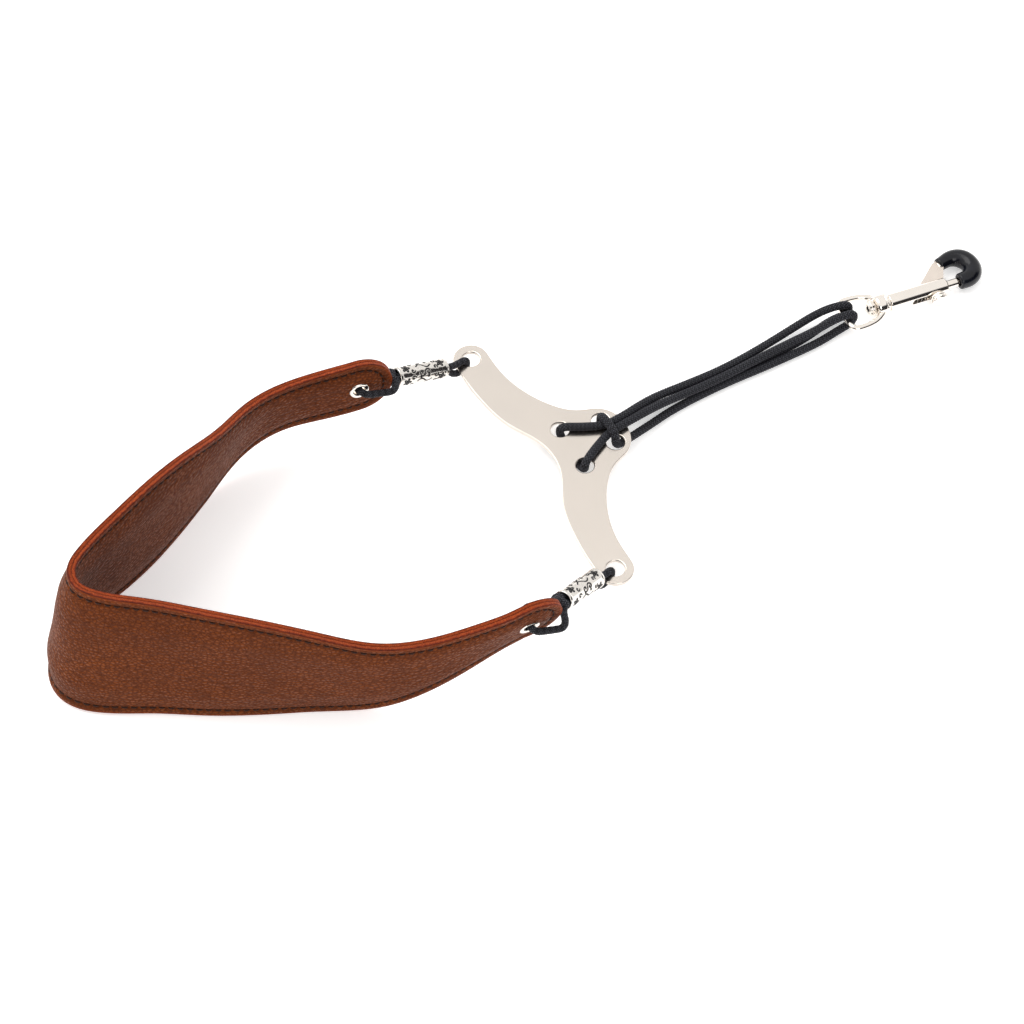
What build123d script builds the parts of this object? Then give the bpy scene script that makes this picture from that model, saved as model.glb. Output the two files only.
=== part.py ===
from build123d import *
from math import cos, pi, radians, sin, tan
import os

# Saxophone neck strap, millimetres. +X runs along the strap from the back of the neck pad to the
# snap hook, +Y runs across the shoulders and +Z is up. The strap lies on a surface at Z = 0.
# "left" is the +Y side, "right" is the -Y side.

# --- Driving dimensions -------------------------------------------------------------------
LEATHER = 1.25              # thickness of each leather layer
FOAM = 2.4                  # thickness of the foam core
GLUE = 0.05                 # glue line between two layers
PAD_T = 2 * LEATHER + 2 * GLUE + FOAM
FOAM_INSET = 5.0            # the foam stops this far inside the seam

# Stations of the pad, from the left eyelet round the neck to the right eyelet:
# x, y of the middle of the pad, height of its lower edge, height of its upper edge, inward lean
PAD_STATIONS = [
    (-51.8, 60.6, 15.7, 43.7, 0.0),
    (-59.2, 62.2, 15.0, 43.3, 0.5),
    (-68.0, 64.8, 13.3, 42.5, 3.0),
    (-82.0, 67.2, 11.8, 42.5, 7.4),
    (-99.7, 65.0, 6.8, 45.2, 12.0),
    (-116.4, 56.9, 0.5, 50.5, 12.4),
    (-132.9, 47.9, 0.0, 57.6, 9.8),
    (-150.5, 39.6, 0.0, 61.5, 8.0),
    (-169.4, 32.1, 0.0, 62.3, 8.9),
    (-186.7, 25.5, 0.0, 62.5, 11.4),
    (-197.2, 17.3, 0.0, 62.8, 12.8),
    (-199.8, 6.5, 0.0, 62.8, 13.6),
    (-192.6, -3.9, 0.0, 62.8, 10.9),
    (-177.8, -14.2, 0.0, 62.8, 7.7),
    (-160.7, -26.4, 0.0, 62.0, 4.9),
    (-142.2, -38.1, 0.0, 59.0, 1.4),
    (-122.7, -49.3, 0.0, 53.1, -2.3),
    (-104.2, -59.5, 3.3, 46.0, -2.7),
    (-85.6, -65.9, 11.4, 44.1, -2.4),
    (-67.1, -67.8, 15.7, 44.2, -8.0),
    (-57.0, -68.8, 18.2, 45.7, -12.0),
    (-48.6, -69.6, 20.3, 47.6, -12.5),
]

EYELET_R = 2.3              # clear radius of the eyelet
EYELET_BARREL_R = 2.55
EYELET_FLANGE_R = 4.0
FLANGE_T = 0.45
WASHER_T = 0.35
LIP_T = 0.3
FLANGE_GAP = 0.18
WASHER_GAP = 0.25

YOKE_X = 1.0                # line of the two end holes
YOKE_Y = 7.0                # middle of the yoke plate
YOKE_HALF_SPAN = 58.0
PLATE_BOTTOM = 7.0
PLATE_T = 1.8
PLATE_HOLE_R = 3.65
PLATE_END_R = 7.2
HOLE_ROUNDING = 0.5
EDGE_ROUNDING = 0.35
BACK_HOLES = (15.0, 10.0)   # x, and distance each side of the middle
FRONT_HOLES = (31.2, 6.0)

TIE_D = 2.8                 # cord of the two tie loops
CORD_D = 3.3                # main cord
SLEEVE_R = 4.0
SLEEVE_BORE_R = 3.15
SLEEVE_LENGTH = 24.0
KNOT_LENGTH = 3.2
KNOT_R = 4.2
# start and end of each sleeve's axis
SLEEVE_LEFT = ((-34.8, 61.4, 23.4), (-12.7, 62.6, 14.2))
SLEEVE_RIGHT = ((-29.4, -63.1, 24.3), (-9.6, -54.4, 14.1))

HOOK_ORIGIN = (146.2, 12.5, 5.6)   # middle of the bow's bar
HOOK_YAW = -7.0
HOOK_PITCH = 1.75
BOW_WIRE_R = 1.3
BOW_HALF_W = 7.2
HUB_R = 4.75
HUB_START = 13.4
HUB_END = 18.6
STEM_R = 2.0
STEM_CLEARANCE = 0.08
TUBE_R = 3.6
TUBE_START = 19.6
TUBE_END = 46.0
BOLT_R = 1.93
BOLT_BORE_R = 2.0
BOLT_TIP = 51.85
BOLT_REAR = 37.0
BORE_FLOOR = 24.0
BOLT_TRAVEL = 9.5
KNOB_U = 40.2
KNOB_STEM_R = 1.2
SLOT_R = 1.35
WEB_T = 2.4
HOOK_WIRE_R = 2.0
COAT_R = 3.5
SPRING_WIRE_R = 0.22
SPRING_R = 1.6
SPRING_TURNS = 7

# --- Main cord: one cord, both ends tied in the knot under the plate ----------------------
# from the knot up through the left back hole, over the plate and out to the snap hook
STRAND_1 = [
    (15.0, 11.3, 3.6), (15.0, 17.0, 4.7), (15.0, 17.0, 10.6), (22.4, 12.7, 10.6),
    (31.2, 8.75, 10.62), (40.5, 9.6, 10.55), (50.0, 12.4, 8.4), (59.0, 14.2, 6.3),
    (72.0, 14.3, 5.0), (87.0, 13.9, 4.9), (101.0, 15.4, 4.0), (114.5, 17.8, 2.7),
    (127.5, 19.8, 2.6), (137.0, 19.8, 4.8), (142.8, 17.2, 8.6),
]
# back under the first strand to the left front hole
STRAND_3 = [
    (141.0, 16.0, 1.9), (132.0, 13.9, 1.65), (121.0, 12.5, 1.66), (106.0, 12.2, 1.65),
    (91.0, 12.7, 1.66), (76.0, 12.6, 1.65), (61.0, 12.9, 1.66), (50.5, 13.1, 2.5),
    (41.0, 13.2, 4.7), (31.2, 13.0, 5.2),
]
# bridge over the plate, and out again below the second strand
BRIDGE = [(31.2, 13.0, 14.0), (31.2, 1.0, 14.0)]
STRAND_4 = [
    (31.2, 1.0, 5.2), (41.0, 2.9, 4.7), (50.5, 5.6, 2.5), (61.0, 8.1, 1.65), (76.0, 9.1, 1.66),
    (91.0, 9.3, 1.65), (106.0, 8.7, 1.66), (121.0, 8.6, 1.65), (132.0, 8.8, 1.66),
    (140.4, 9.9, 1.9),
]
# back over the plate to the right back hole and the knot
STRAND_2 = [
    (140.6, 11.3, 8.6), (131.0, 11.9, 5.8), (118.0, 12.1, 5.05), (103.0, 11.4, 5.0),
    (88.0, 10.4, 5.0), (73.0, 10.3, 5.1), (60.0, 9.9, 6.5), (50.0, 8.2, 8.6),
    (40.5, 6.1, 10.55), (31.2, 5.3, 10.62), (22.4, 1.3, 10.6), (15.0, -3.0, 10.6),
    (15.0, -3.0, 4.7), (15.0, 2.7, 3.6),
]
BIGHT_LEFT = 3.2            # place of each bight along the bow's bar
BIGHT_RIGHT = -1.5
BIGHT_RISE = 3.1            # bar radius + cord radius + clearance
BIGHT_REACH = 3.2

os.makedirs("parts", exist_ok=True)


def write(name, shape):
    shape.label = name
    export_step(shape, f"parts/{name}.step")


def cylinder(start, direction, radius, length):
    """Solid cylinder from start along direction."""
    plane = Plane(origin=start, z_dir=direction)
    return extrude(plane * Circle(radius), length)


def ring(start, direction, outer, inner, length):
    plane = Plane(origin=start, z_dir=direction)
    return extrude(plane * (Circle(outer) - Circle(inner)), length)


def corner_radii(points, share=0.45):
    """One radius for each corner: the largest that its two runs leave room for."""
    radii = []
    for before, here, after in zip(points, points[1:], points[2:]):
        first = Vector(*here) - Vector(*before)
        second = Vector(*after) - Vector(*here)
        turn = first.get_angle(second)
        radii.append(share * min(first.length, second.length) / tan(radians(turn) / 2))
    return radii


def cord_tube(points, diameter, name):
    """Round cord along straight runs joined by tangent arcs."""
    radii = corner_radii(points)
    path = FilletPolyline(*points, radius=radii)
    start = Plane(origin=path @ 0, z_dir=path % 0)
    tube = sweep(start * Circle(diameter / 2), path=path)
    expected = pi * diameter**2 / 4 * path.length
    print(
        f"{name}: length {path.length:.1f}, tightest radius {min(radii):.1f},"
        f" radii {[round(r, 1) for r in radii]}, volume ratio {tube.volume / expected:.4f}"
    )
    return tube, path.length


def middle(a, b):
    return tuple((p + q) / 2 for p, q in zip(a, b))


# --- Neck pad -----------------------------------------------------------------------------
def pad_frames():
    """For each station: centre, heading, inward normal and the direction up the pad."""
    plan = [Vector(x, y, 0) for x, y, *_ in PAD_STATIONS]
    line = Spline(*plan, tangents=[Vector(-1, 0.16, 0), Vector(1, -0.08, 0)])
    frames = []
    for (x, y, low, high, lean), here in zip(PAD_STATIONS, plan):
        heading = line % line.param_at_point(here)
        heading = heading.normalized()
        inward = Vector(0, 0, 1).cross(heading)
        lean_angle = radians(lean)
        up = inward * sin(lean_angle) + Vector(0, 0, cos(lean_angle))
        across = inward * cos(lean_angle) - Vector(0, 0, sin(lean_angle))
        centre = Vector(x, y, (low + high) / 2)
        half = (high - low) / 2 / cos(lean_angle)
        frames.append((centre, heading, across, up, half))
    return frames


def pad_layer(frames, near, far, inset):
    """One layer between two distances from the middle surface, with its rounded ends."""
    sections = []
    for centre, heading, across, up, half in frames:
        tall = half - inset
        lower_trim = max(0.0, (abs(across.Z) * max(abs(near), abs(far))))
        plane = Plane(origin=centre, x_dir=across, z_dir=heading)
        side = (plane.y_dir).dot(up)
        low = -tall + lower_trim
        corners = [(near, low), (far, low), (far, tall), (near, tall)]
        corners = [(a, b * side) for a, b in corners]
        sections.append(plane * make_face(Polyline(*corners, close=True)))
    layer = loft(sections)
    for centre, heading, across, up, half in (frames[0], frames[-1]):
        outward = heading if centre is frames[-1][0] else heading * -1
        disc = cylinder(centre + across * near, across, half - inset, far - near)
        block_plane = Plane(origin=centre, x_dir=across, z_dir=outward)
        block = extrude(block_plane * Rectangle(4 * PAD_T, 4 * half), 2 * half)
        layer = layer + (disc & block)
    return layer


def eyelet_cutter(frame, radius):
    centre, _, across, _, _ = frame
    return cylinder(centre - across * PAD_T, across, radius, 2 * PAD_T)


def make_pad():
    frames = pad_frames()
    cutters = [eyelet_cutter(f, EYELET_BARREL_R + GLUE) for f in (frames[0], frames[-1])]
    half_foam = FOAM / 2
    inner = pad_layer(frames, half_foam + GLUE, half_foam + GLUE + LEATHER, 0.0)
    outer = pad_layer(frames, -half_foam - GLUE - LEATHER, -half_foam - GLUE, 0.0)
    core = pad_layer(frames, -half_foam, half_foam, FOAM_INSET)
    for cutter in cutters:
        inner = inner - cutter
        outer = outer - cutter
        core = core - cutter
    write("pad_inner_leather", inner)
    write("pad_outer_leather", outer)
    write("pad_foam_core", core)
    return frames


def make_edge_stitching(frames):
    """Lock stitches 3.6 mm inside the edge, on both faces of the pad."""
    inset = 3.6
    thread_r = 0.3
    stitch = 2.6
    pitch = 9.0
    stitches = []
    stand_off = PAD_T / 2 + thread_r + 0.3
    for face in (1, -1):
        for edge in (1, -1):
            points = [
                centre + across * (face * stand_off) + up * (edge * (half - inset))
                for centre, _, across, up, half in frames
            ]
            line = Spline(*points)
            count = int(line.length // pitch)
            for i in range(count):
                start = line @ ((i + 0.5) / count)
                direction = line % ((i + 0.5) / count)
                stitches.append(cylinder(start - direction * (stitch / 2), direction, thread_r, stitch))
        for frame, outward in ((frames[0], -1), (frames[-1], 1)):
            centre, heading, across, up, half = frame
            arc_r = half - inset
            for k in range(1, 5):
                angle = radians(-90 + 36 * k)
                radial = heading * (outward * cos(angle)) + up * sin(angle)
                along = heading * (-outward * sin(angle)) + up * cos(angle)
                spot = centre + across * (face * stand_off) + radial * arc_r
                stitches.append(cylinder(spot - along * (stitch / 2), along, thread_r, stitch))
    write("pad_edge_stitching", Compound(children=stitches))


def make_eyelets(frames):
    """Two-part eyelets: a flanged barrel with a rolled lip, and the washer under the lip."""
    for side, frame in (("left", frames[0]), ("right", frames[-1])):
        centre, _, across, _, _ = frame
        half = PAD_T / 2
        face = centre + across * (half + FLANGE_GAP)
        flange = ring(face, across, EYELET_FLANGE_R, EYELET_R, FLANGE_T)
        back = centre - across * (half + WASHER_GAP + WASHER_T + LIP_T)
        grip = PAD_T + FLANGE_GAP + WASHER_GAP + WASHER_T + LIP_T + FLANGE_T / 2
        barrel = ring(back, across, EYELET_BARREL_R, EYELET_R, grip)
        lip = ring(back, across, EYELET_BARREL_R + 0.7, EYELET_R, LIP_T)
        write(f"eyelet_{side}", flange + barrel + lip)
        washer_back = centre - across * (half + WASHER_GAP + WASHER_T)
        washer = ring(washer_back, across, EYELET_FLANGE_R, EYELET_BARREL_R + GLUE, WASHER_T)
        write(f"eyelet_washer_{side}", washer)


# --- Tie loops and sleeves ----------------------------------------------------------------
def tie_frame(sleeve):
    start = Vector(*sleeve[0])
    along = (Vector(*sleeve[1]) - start).normalized()
    side = Vector(0, 0, 1).cross(along).normalized()
    up = along.cross(side)
    return start, along, side, up


def tie_route(frame, sleeve, hole, inner_side):
    """Open route of one tie loop: knot, eyelet, knot, sleeve, yoke hole, sleeve, knot."""
    centre, heading, across, _, _ = frame
    tip = heading if centre.X * heading.X < 0 else heading * -1
    start, along, side, up = tie_frame(sleeve)
    flank = 5.05
    tip_reach = 13.2 if inner_side < 0 else 14.5
    fall = centre.Z - start.Z

    def pad_point(reach, lateral, drop=0.0):
        return centre + tip * reach + across * lateral - Vector(0, 0, drop)

    def sleeve_point(reach, sideways, upwards):
        return start + along * reach + side * (sideways * inner_side) + up * upwards

    rim = Vector(hole[0] - sleeve[1][0], hole[1] - sleeve[1][1], 0).normalized()
    centre_hole = Vector(hole[0], hole[1], 0)

    def rim_point(radius, height):
        return centre_hole - rim * radius + Vector(0, 0, height)

    end = SLEEVE_LENGTH
    points = [
        sleeve_point(-1.2, 1.6, 1.0),
        pad_point(14.8, flank + 0.5, 0.5 * fall),
        pad_point(7.0, flank + 0.5, 0.2 * fall),
        pad_point(0.0, flank, 0.0),
        pad_point(0.0, -flank, 0.0),
        pad_point(7.0, -flank - 0.3, 0.28 * fall),
        pad_point(tip_reach, -flank, 0.62 * fall),
        sleeve_point(-1.7, -1.02, -0.9),
        sleeve_point(8.0, -1.08, -1.02),
        sleeve_point(16.0, -1.1, -1.0),
        sleeve_point(end + 1.6, -1.04, -0.98),
        rim_point(9.0, 5.2),
        rim_point(2.15, 5.0),
        rim_point(2.15, 10.8),
        rim_point(7.6, 11.05),
        sleeve_point(end + 0.4, 1.08, 1.02),
        sleeve_point(16.0, 1.1, 1.0),
        sleeve_point(8.0, 1.08, 1.02),
        sleeve_point(-0.3, 1.1, 1.0),
    ]
    return [tuple(p) for p in points]


def make_ties(frames):
    left_hole = (YOKE_X, YOKE_Y + YOKE_HALF_SPAN)
    right_hole = (YOKE_X, YOKE_Y - YOKE_HALF_SPAN)
    sides = (
        ("left", frames[0], SLEEVE_LEFT, left_hole, -1),
        ("right", frames[-1], SLEEVE_RIGHT, right_hole, 1),
    )
    for name, frame, sleeve, hole, inner_side in sides:
        route = tie_route(frame, sleeve, hole, inner_side)
        tube, _ = cord_tube(route, TIE_D, f"tie_cord_{name}")
        write(f"tie_cord_{name}", tube)
        start, along, side, up = tie_frame(sleeve)
        body = ring(start, along, SLEEVE_R, SLEEVE_BORE_R, SLEEVE_LENGTH)
        rims = body.edges().filter_by(GeomType.CIRCLE)
        write(f"sleeve_{name}", chamfer(rims, 0.2))
        knot = cylinder(start - along * (KNOT_LENGTH + 0.3), along, KNOT_R, KNOT_LENGTH)
        knot = fillet(knot.edges().filter_by(GeomType.CIRCLE), 1.2)
        write(f"tie_knot_{name}", knot - tube)


# --- Yoke plate ---------------------------------------------------------------------------
def yoke_outline():
    """Half of the wishbone outline, from the pad side round one end to the hook side."""
    x = YOKE_X
    inner = Spline((6.2, 0), (4.4, 9.5), (-2.2, 23.0), (-5.6, 40.0), (x - PLATE_END_R, 58.0),
                   tangents=[(0, 1), (0.0, 1)])
    end = ThreePointArc((x - PLATE_END_R, 58.0), (x, 58.0 + PLATE_END_R), (x + PLATE_END_R, 58.0))
    outer = Spline((x + PLATE_END_R, 58.0), (8.6, 46.0), (13.2, 30.5), (20.6, 19.2), (30.4, 13.2),
                   tangents=[(0, -1), (1, -0.33)])
    nose = Spline((30.4, 13.2), (36.8, 8.6), (39.2, 0), tangents=[(1, -0.33), (0, -1)])
    return inner, end, outer, nose


def make_yoke_plate():
    with BuildSketch(Plane.XY.offset(PLATE_BOTTOM)) as sketch:
        with BuildLine():
            edges = yoke_outline()
            for edge in edges:
                add(edge)
            for edge in edges:
                add(edge.mirror(Plane.XZ))
        make_face()
        spots = [(YOKE_X, YOKE_HALF_SPAN), BACK_HOLES, FRONT_HOLES]
        places = [(hx, hy * sign) for hx, hy in spots for sign in (1, -1)]
        with Locations(*places):
            Circle(PLATE_HOLE_R, mode=Mode.SUBTRACT)
    plate = extrude(sketch.sketch, PLATE_T)
    holes = plate.edges().filter_by(GeomType.CIRCLE).filter_by(
        lambda e: abs(e.radius - PLATE_HOLE_R) < 0.01
    )
    plate = fillet(holes, HOLE_ROUNDING)
    faces = plate.faces().sort_by(Axis.Z)
    rims = faces[0].outer_wire().edges() + faces[-1].outer_wire().edges()
    plate = fillet(rims, EDGE_ROUNDING)
    write("yoke_plate", Pos(0, YOKE_Y, 0) * plate)


# --- Snap hook ----------------------------------------------------------------------------
def hook_place():
    """The hook's own frame: +X along its axis from the bow's bar, +Y across, +Z up."""
    return Pos(*HOOK_ORIGIN) * Rot(0, 0, HOOK_YAW) * Rot(0, HOOK_PITCH, 0)


def placed_point(u, v, w):
    return tuple((hook_place() * Pos(u, v, w)).position)


def bight_points(v):
    """Corner points of one bight round the bow's bar, from over the bar to under it."""
    return [placed_point(BIGHT_REACH, v, BIGHT_RISE), placed_point(BIGHT_REACH, v, -BIGHT_RISE)]


def make_main_cord():
    left = bight_points(BIGHT_LEFT)
    right = bight_points(BIGHT_RIGHT)
    route = STRAND_1 + left + STRAND_3 + BRIDGE + STRAND_4 + right[::-1] + STRAND_2
    whole = FilletPolyline(*route, radius=corner_radii(route))
    print(f"main cord: whole length {whole.length:.0f}")
    cut_1 = middle(STRAND_1[5], STRAND_1[6])
    cut_3 = middle(STRAND_3[7], STRAND_3[8])
    cut_4 = middle(STRAND_4[1], STRAND_4[2])
    cut_2 = middle(STRAND_2[7], STRAND_2[8])
    end_1 = middle(STRAND_1[13], STRAND_1[14])
    end_3 = middle(STRAND_3[0], STRAND_3[1])
    end_4 = middle(STRAND_4[8], STRAND_4[9])
    end_2 = middle(STRAND_2[0], STRAND_2[1])
    lacing = [
        STRAND_1[:6] + [cut_1],
        [cut_3] + STRAND_3[8:] + BRIDGE + STRAND_4[:2] + [cut_4],
        [cut_2] + STRAND_2[8:],
    ]
    strands = [
        [cut_1] + STRAND_1[6:14] + [end_1],
        [end_3] + STRAND_3[1:8] + [cut_3],
        [cut_4] + STRAND_4[2:9] + [end_4],
        [end_2] + STRAND_2[1:8] + [cut_2],
    ]
    bights = [
        [end_1, STRAND_1[14]] + left + [STRAND_3[0], end_3],
        [end_4, STRAND_4[9]] + right[::-1] + [STRAND_2[0], end_2],
    ]
    for name, routes in (("cord_lacing", lacing), ("cord_strands", strands), ("cord_bights", bights)):
        tubes = [cord_tube(r, CORD_D, f"{name}_{i}")[0] for i, r in enumerate(routes)]
        write(name, Compound(children=tubes))


def make_cord_knot():
    """Knot that joins the two ends under the plate, with its two cut tails."""
    length = 8.0
    radius = 3.35
    knot = cylinder((15.0, YOKE_Y - length / 2, radius + 0.1), (0, 1, 0), radius, length)
    knot = fillet(knot.edges().filter_by(GeomType.CIRCLE), 1.4)
    for sign in (1, -1):
        start = (11.8, YOKE_Y + 1.5 * sign, 2.3)
        knot = knot + cylinder(start, (-0.1, sign, -0.04), CORD_D / 2, 11.5)
    write("cord_knot", knot)


def make_bow():
    joint_u = HUB_START + 2.2
    legs = [
        (joint_u, 3.7, 0), (10.0, 7.0, 0), (0, BOW_HALF_W, 0), (0, -BOW_HALF_W, 0),
        (10.0, -7.0, 0), (joint_u, -3.7, 0),
    ]
    path = FilletPolyline(*legs, radius=[6.0, 3.0, 3.0, 6.0])
    start = Plane(origin=path @ 0, z_dir=path % 0)
    wire = sweep(start * Circle(BOW_WIRE_R), path=path)
    hub = cylinder((HUB_START, 0, 0), (1, 0, 0), HUB_R, HUB_END - HUB_START)
    hub = fillet(hub.edges().filter_by(GeomType.CIRCLE), 0.8)
    bore = cylinder((0.2 + BOW_WIRE_R, 0, 0), (1, 0, 0), STEM_R + STEM_CLEARANCE, 30)
    write("swivel_bow", hook_place() * ((wire + hub) - bore))


def hook_wire_path(end_u):
    return FilletPolyline(
        (47.2, 10.2, 0), (59.4, 12.2, 0), (61.0, 0, 0), (end_u, 0, 0), radius=[5.6, 5.4]
    )


def round_sweep(path, radius):
    start = Plane(origin=path @ 0, z_dir=path % 0)
    return sweep(start * Circle(radius), path=path)


def hook_web():
    """Flat web between the barrel and the hook."""
    outline = Polyline(
        (34.5, 2.6), (45.4, 11.6), (49.6, 12.2), (50.4, 8.4), (47.6, 6.4), (45.8, 2.6), close=True
    )
    return extrude(Plane.XY.offset(-WEB_T / 2) * make_face(outline), WEB_T)


def make_hook_body():
    """Barrel, stem, web and hook, cast as one piece."""
    stem_start = HUB_START - 2.6
    stem = cylinder((stem_start, 0, 0), (1, 0, 0), STEM_R, TUBE_START - stem_start)
    collar = cylinder((HUB_END + 0.2, 0, 0), (1, 0, 0), 3.0, 1.0)
    tube = cylinder((TUBE_START, 0, 0), (1, 0, 0), TUBE_R, TUBE_END - TUBE_START)
    tube = fillet(tube.edges().filter_by(GeomType.CIRCLE), 0.4)
    wire = round_sweep(hook_wire_path(53.2), HOOK_WIRE_R)
    body = stem + collar + tube + hook_web() + wire
    bore = cylinder((BORE_FLOOR, 0, 0), (1, 0, 0), BOLT_BORE_R, TUBE_END - BORE_FLOOR + 0.8)
    slot_front = KNOB_U + 0.05
    slot_rear = KNOB_U - BOLT_TRAVEL - 0.1
    slot_plane = Plane(origin=(0, 0, 0), x_dir=(1, 0, 0), z_dir=(0, -1, 0))
    slot_mid = (slot_front + slot_rear) / 2
    slot_len = slot_front - slot_rear + 2 * SLOT_R
    slot = extrude(slot_plane * Pos(slot_mid, 0) * SlotOverall(slot_len, 2 * SLOT_R), 2 * TUBE_R)
    write("hook_body", hook_place() * (body - bore - slot))


def make_hook_coating():
    """Rubber dip over the hook, with its round nose closed in front of the bolt."""
    skin = round_sweep(hook_wire_path(52.0), COAT_R)
    core = round_sweep(hook_wire_path(53.2), HOOK_WIRE_R)
    coat = skin - core - hook_web()
    solids = coat.solids().sort_by(SortBy.VOLUME)
    write("hook_coating", hook_place() * solids[-1])


def make_swivel_rivet():
    """Peened head that holds the stem in the hub."""
    rear = HUB_START - 3.2
    head = ring((rear, 0, 0), (1, 0, 0), 3.5, STEM_R, 3.1)
    cap = cylinder((rear - 0.8, 0, 0), (1, 0, 0), 2.9, 1.4)
    socket = cylinder((HUB_START - 2.6, 0, 0), (1, 0, 0), STEM_R, 4.0)
    write("swivel_rivet", hook_place() * (head + cap - socket))


def make_bolt():
    rod = cylinder((BOLT_REAR, 0, 0), (1, 0, 0), BOLT_R, BOLT_TIP - BOLT_REAR)
    rod = chamfer(rod.edges().filter_by(GeomType.CIRCLE), 0.25)
    stem = cylinder((KNOB_U, 0.9, 0), (0, -1, 0), KNOB_STEM_R, 4.9)
    button = cylinder((KNOB_U, -3.75, 0), (0, -1, 0), 3.4, 3.2)
    button = fillet(button.edges().filter_by(GeomType.CIRCLE), 0.7)
    write("bolt_rod", hook_place() * (rod - stem))
    write("thumb_knob", hook_place() * (stem + button))


def make_bolt_spring():
    """Compression spring behind the bolt."""
    room = BOLT_REAR - BORE_FLOOR - 2 * SPRING_WIRE_R - 0.1
    coil = Helix(pitch=room / SPRING_TURNS, height=room, radius=SPRING_R)
    start = Plane(origin=coil @ 0, z_dir=coil % 0)
    spring = sweep(start * Circle(SPRING_WIRE_R), path=coil, is_frenet=True)
    along_axis = Pos(BORE_FLOOR + SPRING_WIRE_R + 0.05, 0, 0) * Rot(0, 90, 0)
    write("bolt_spring", hook_place() * along_axis * spring)


pad = make_pad()
make_edge_stitching(pad)
make_eyelets(pad)
make_ties(pad)
make_yoke_plate()
make_main_cord()
make_cord_knot()
make_bow()
make_hook_body()
make_hook_coating()
make_swivel_rivet()
make_bolt()
make_bolt_spring()
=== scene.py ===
from math import cos, pi, radians, sin

import bmesh
import bpy
import numpy as np
from mathutils import Matrix, Vector, kdtree, noise


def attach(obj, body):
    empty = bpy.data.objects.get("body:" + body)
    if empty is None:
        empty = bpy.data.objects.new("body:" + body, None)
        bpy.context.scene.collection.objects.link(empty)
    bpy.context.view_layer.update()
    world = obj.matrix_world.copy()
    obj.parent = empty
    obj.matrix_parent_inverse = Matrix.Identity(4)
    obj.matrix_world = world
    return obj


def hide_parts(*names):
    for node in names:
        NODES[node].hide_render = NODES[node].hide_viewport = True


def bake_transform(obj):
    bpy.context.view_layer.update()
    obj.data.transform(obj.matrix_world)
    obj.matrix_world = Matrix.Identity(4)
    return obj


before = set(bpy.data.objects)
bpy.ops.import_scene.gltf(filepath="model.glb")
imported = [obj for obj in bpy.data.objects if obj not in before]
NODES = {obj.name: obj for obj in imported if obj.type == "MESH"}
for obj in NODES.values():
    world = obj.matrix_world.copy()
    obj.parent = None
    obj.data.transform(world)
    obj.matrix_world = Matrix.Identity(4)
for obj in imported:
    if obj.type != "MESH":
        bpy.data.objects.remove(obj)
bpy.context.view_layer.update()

# Saxophone neck strap. Lengths in this script are millimetres, and MM turns them into metres.
MM = 0.001
COLLECTION = bpy.context.scene.collection

# ---- Small mesh kit ----


def add_object(name, data):
    piece = bpy.data.objects.new(name, data)
    COLLECTION.objects.link(piece)
    return piece


def mesh_object(name, points, faces, materials=(), sharp_angle=None):
    """A smooth-shaded mesh from points in millimetres."""
    mesh = bpy.data.meshes.new(name)
    mesh.from_pydata((np.asarray(points, float) * MM).tolist(), [], faces)
    mesh.update()
    mesh.shade_smooth()
    if sharp_angle is not None:
        mesh.set_sharp_from_angle(angle=radians(sharp_angle))
    for material in materials:
        mesh.materials.append(material)
    return add_object(name, mesh)


def grid_faces(rows, columns, closed_rows=False, closed_columns=False):
    """Quads between the points of a grid, numbered row by row."""
    faces = []
    for i in range(rows if closed_rows else rows - 1):
        near = i * columns
        far = (i + 1) % rows * columns
        for j in range(columns if closed_columns else columns - 1):
            k = (j + 1) % columns
            faces.append((near + j, near + k, far + k, far + j))
    return faces


def capped_faces(rows, columns):
    """Faces of a stack of closed rings, with a cap at each end."""
    faces = grid_faces(rows, columns, closed_columns=True)
    faces.append(tuple(range(columns))[::-1])
    faces.append(tuple(range((rows - 1) * columns, rows * columns)))
    return faces


def point_attribute(piece, name, values):
    attribute = piece.data.attributes.new(name, "FLOAT", "POINT")
    attribute.data.foreach_set("value", np.asarray(values, np.float32))


def unit(vector):
    vector = np.asarray(vector, float)
    return vector / np.linalg.norm(vector)


def carried_frames(line):
    """Side and up directions at each point of a line, carried along without twist."""
    line = np.asarray(line, float)
    tangents = np.gradient(line, axis=0)
    tangents /= np.linalg.norm(tangents, axis=1)[:, None]
    helper = np.array([0.0, 0.0, 1.0])
    if abs(tangents[0] @ helper) > 0.9:
        helper = np.array([0.0, 1.0, 0.0])
    side = unit(np.cross(helper, tangents[0]))
    sides = [side]
    for tangent in tangents[1:]:
        side = unit(side - tangent * (side @ tangent))
        sides.append(side)
    sides = np.array(sides)
    return sides, np.cross(tangents, sides)


def tube_points(line, radii, sides_count):
    """Rings of points round a line; radii is one number or one for each point."""
    line = np.asarray(line, float)
    radii = np.broadcast_to(np.asarray(radii, float), len(line))
    side, up = carried_frames(line)
    angles = np.arange(sides_count) * 2 * pi / sides_count
    ring = side[:, None, :] * np.cos(angles)[None, :, None] + up[:, None, :] * np.sin(angles)[None, :, None]
    return (line[:, None, :] + ring * radii[:, None, None]).reshape(-1, 3)


def capped_tube(line, radii, sides_count):
    """Points and faces of a tube that is closed at both ends."""
    return tube_points(line, radii, sides_count), capped_faces(len(line), sides_count)


def lengths_along(line):
    """How far along a line each of its points is."""
    return np.concatenate(([0.0], np.cumsum(np.linalg.norm(np.diff(line, axis=0), axis=1))))


def values_at(wanted, along, values):
    """Rows of three values, read between the known ones at each wanted place along."""
    return np.stack([np.interp(wanted, along, values[:, k]) for k in range(3)], axis=1)


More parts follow.
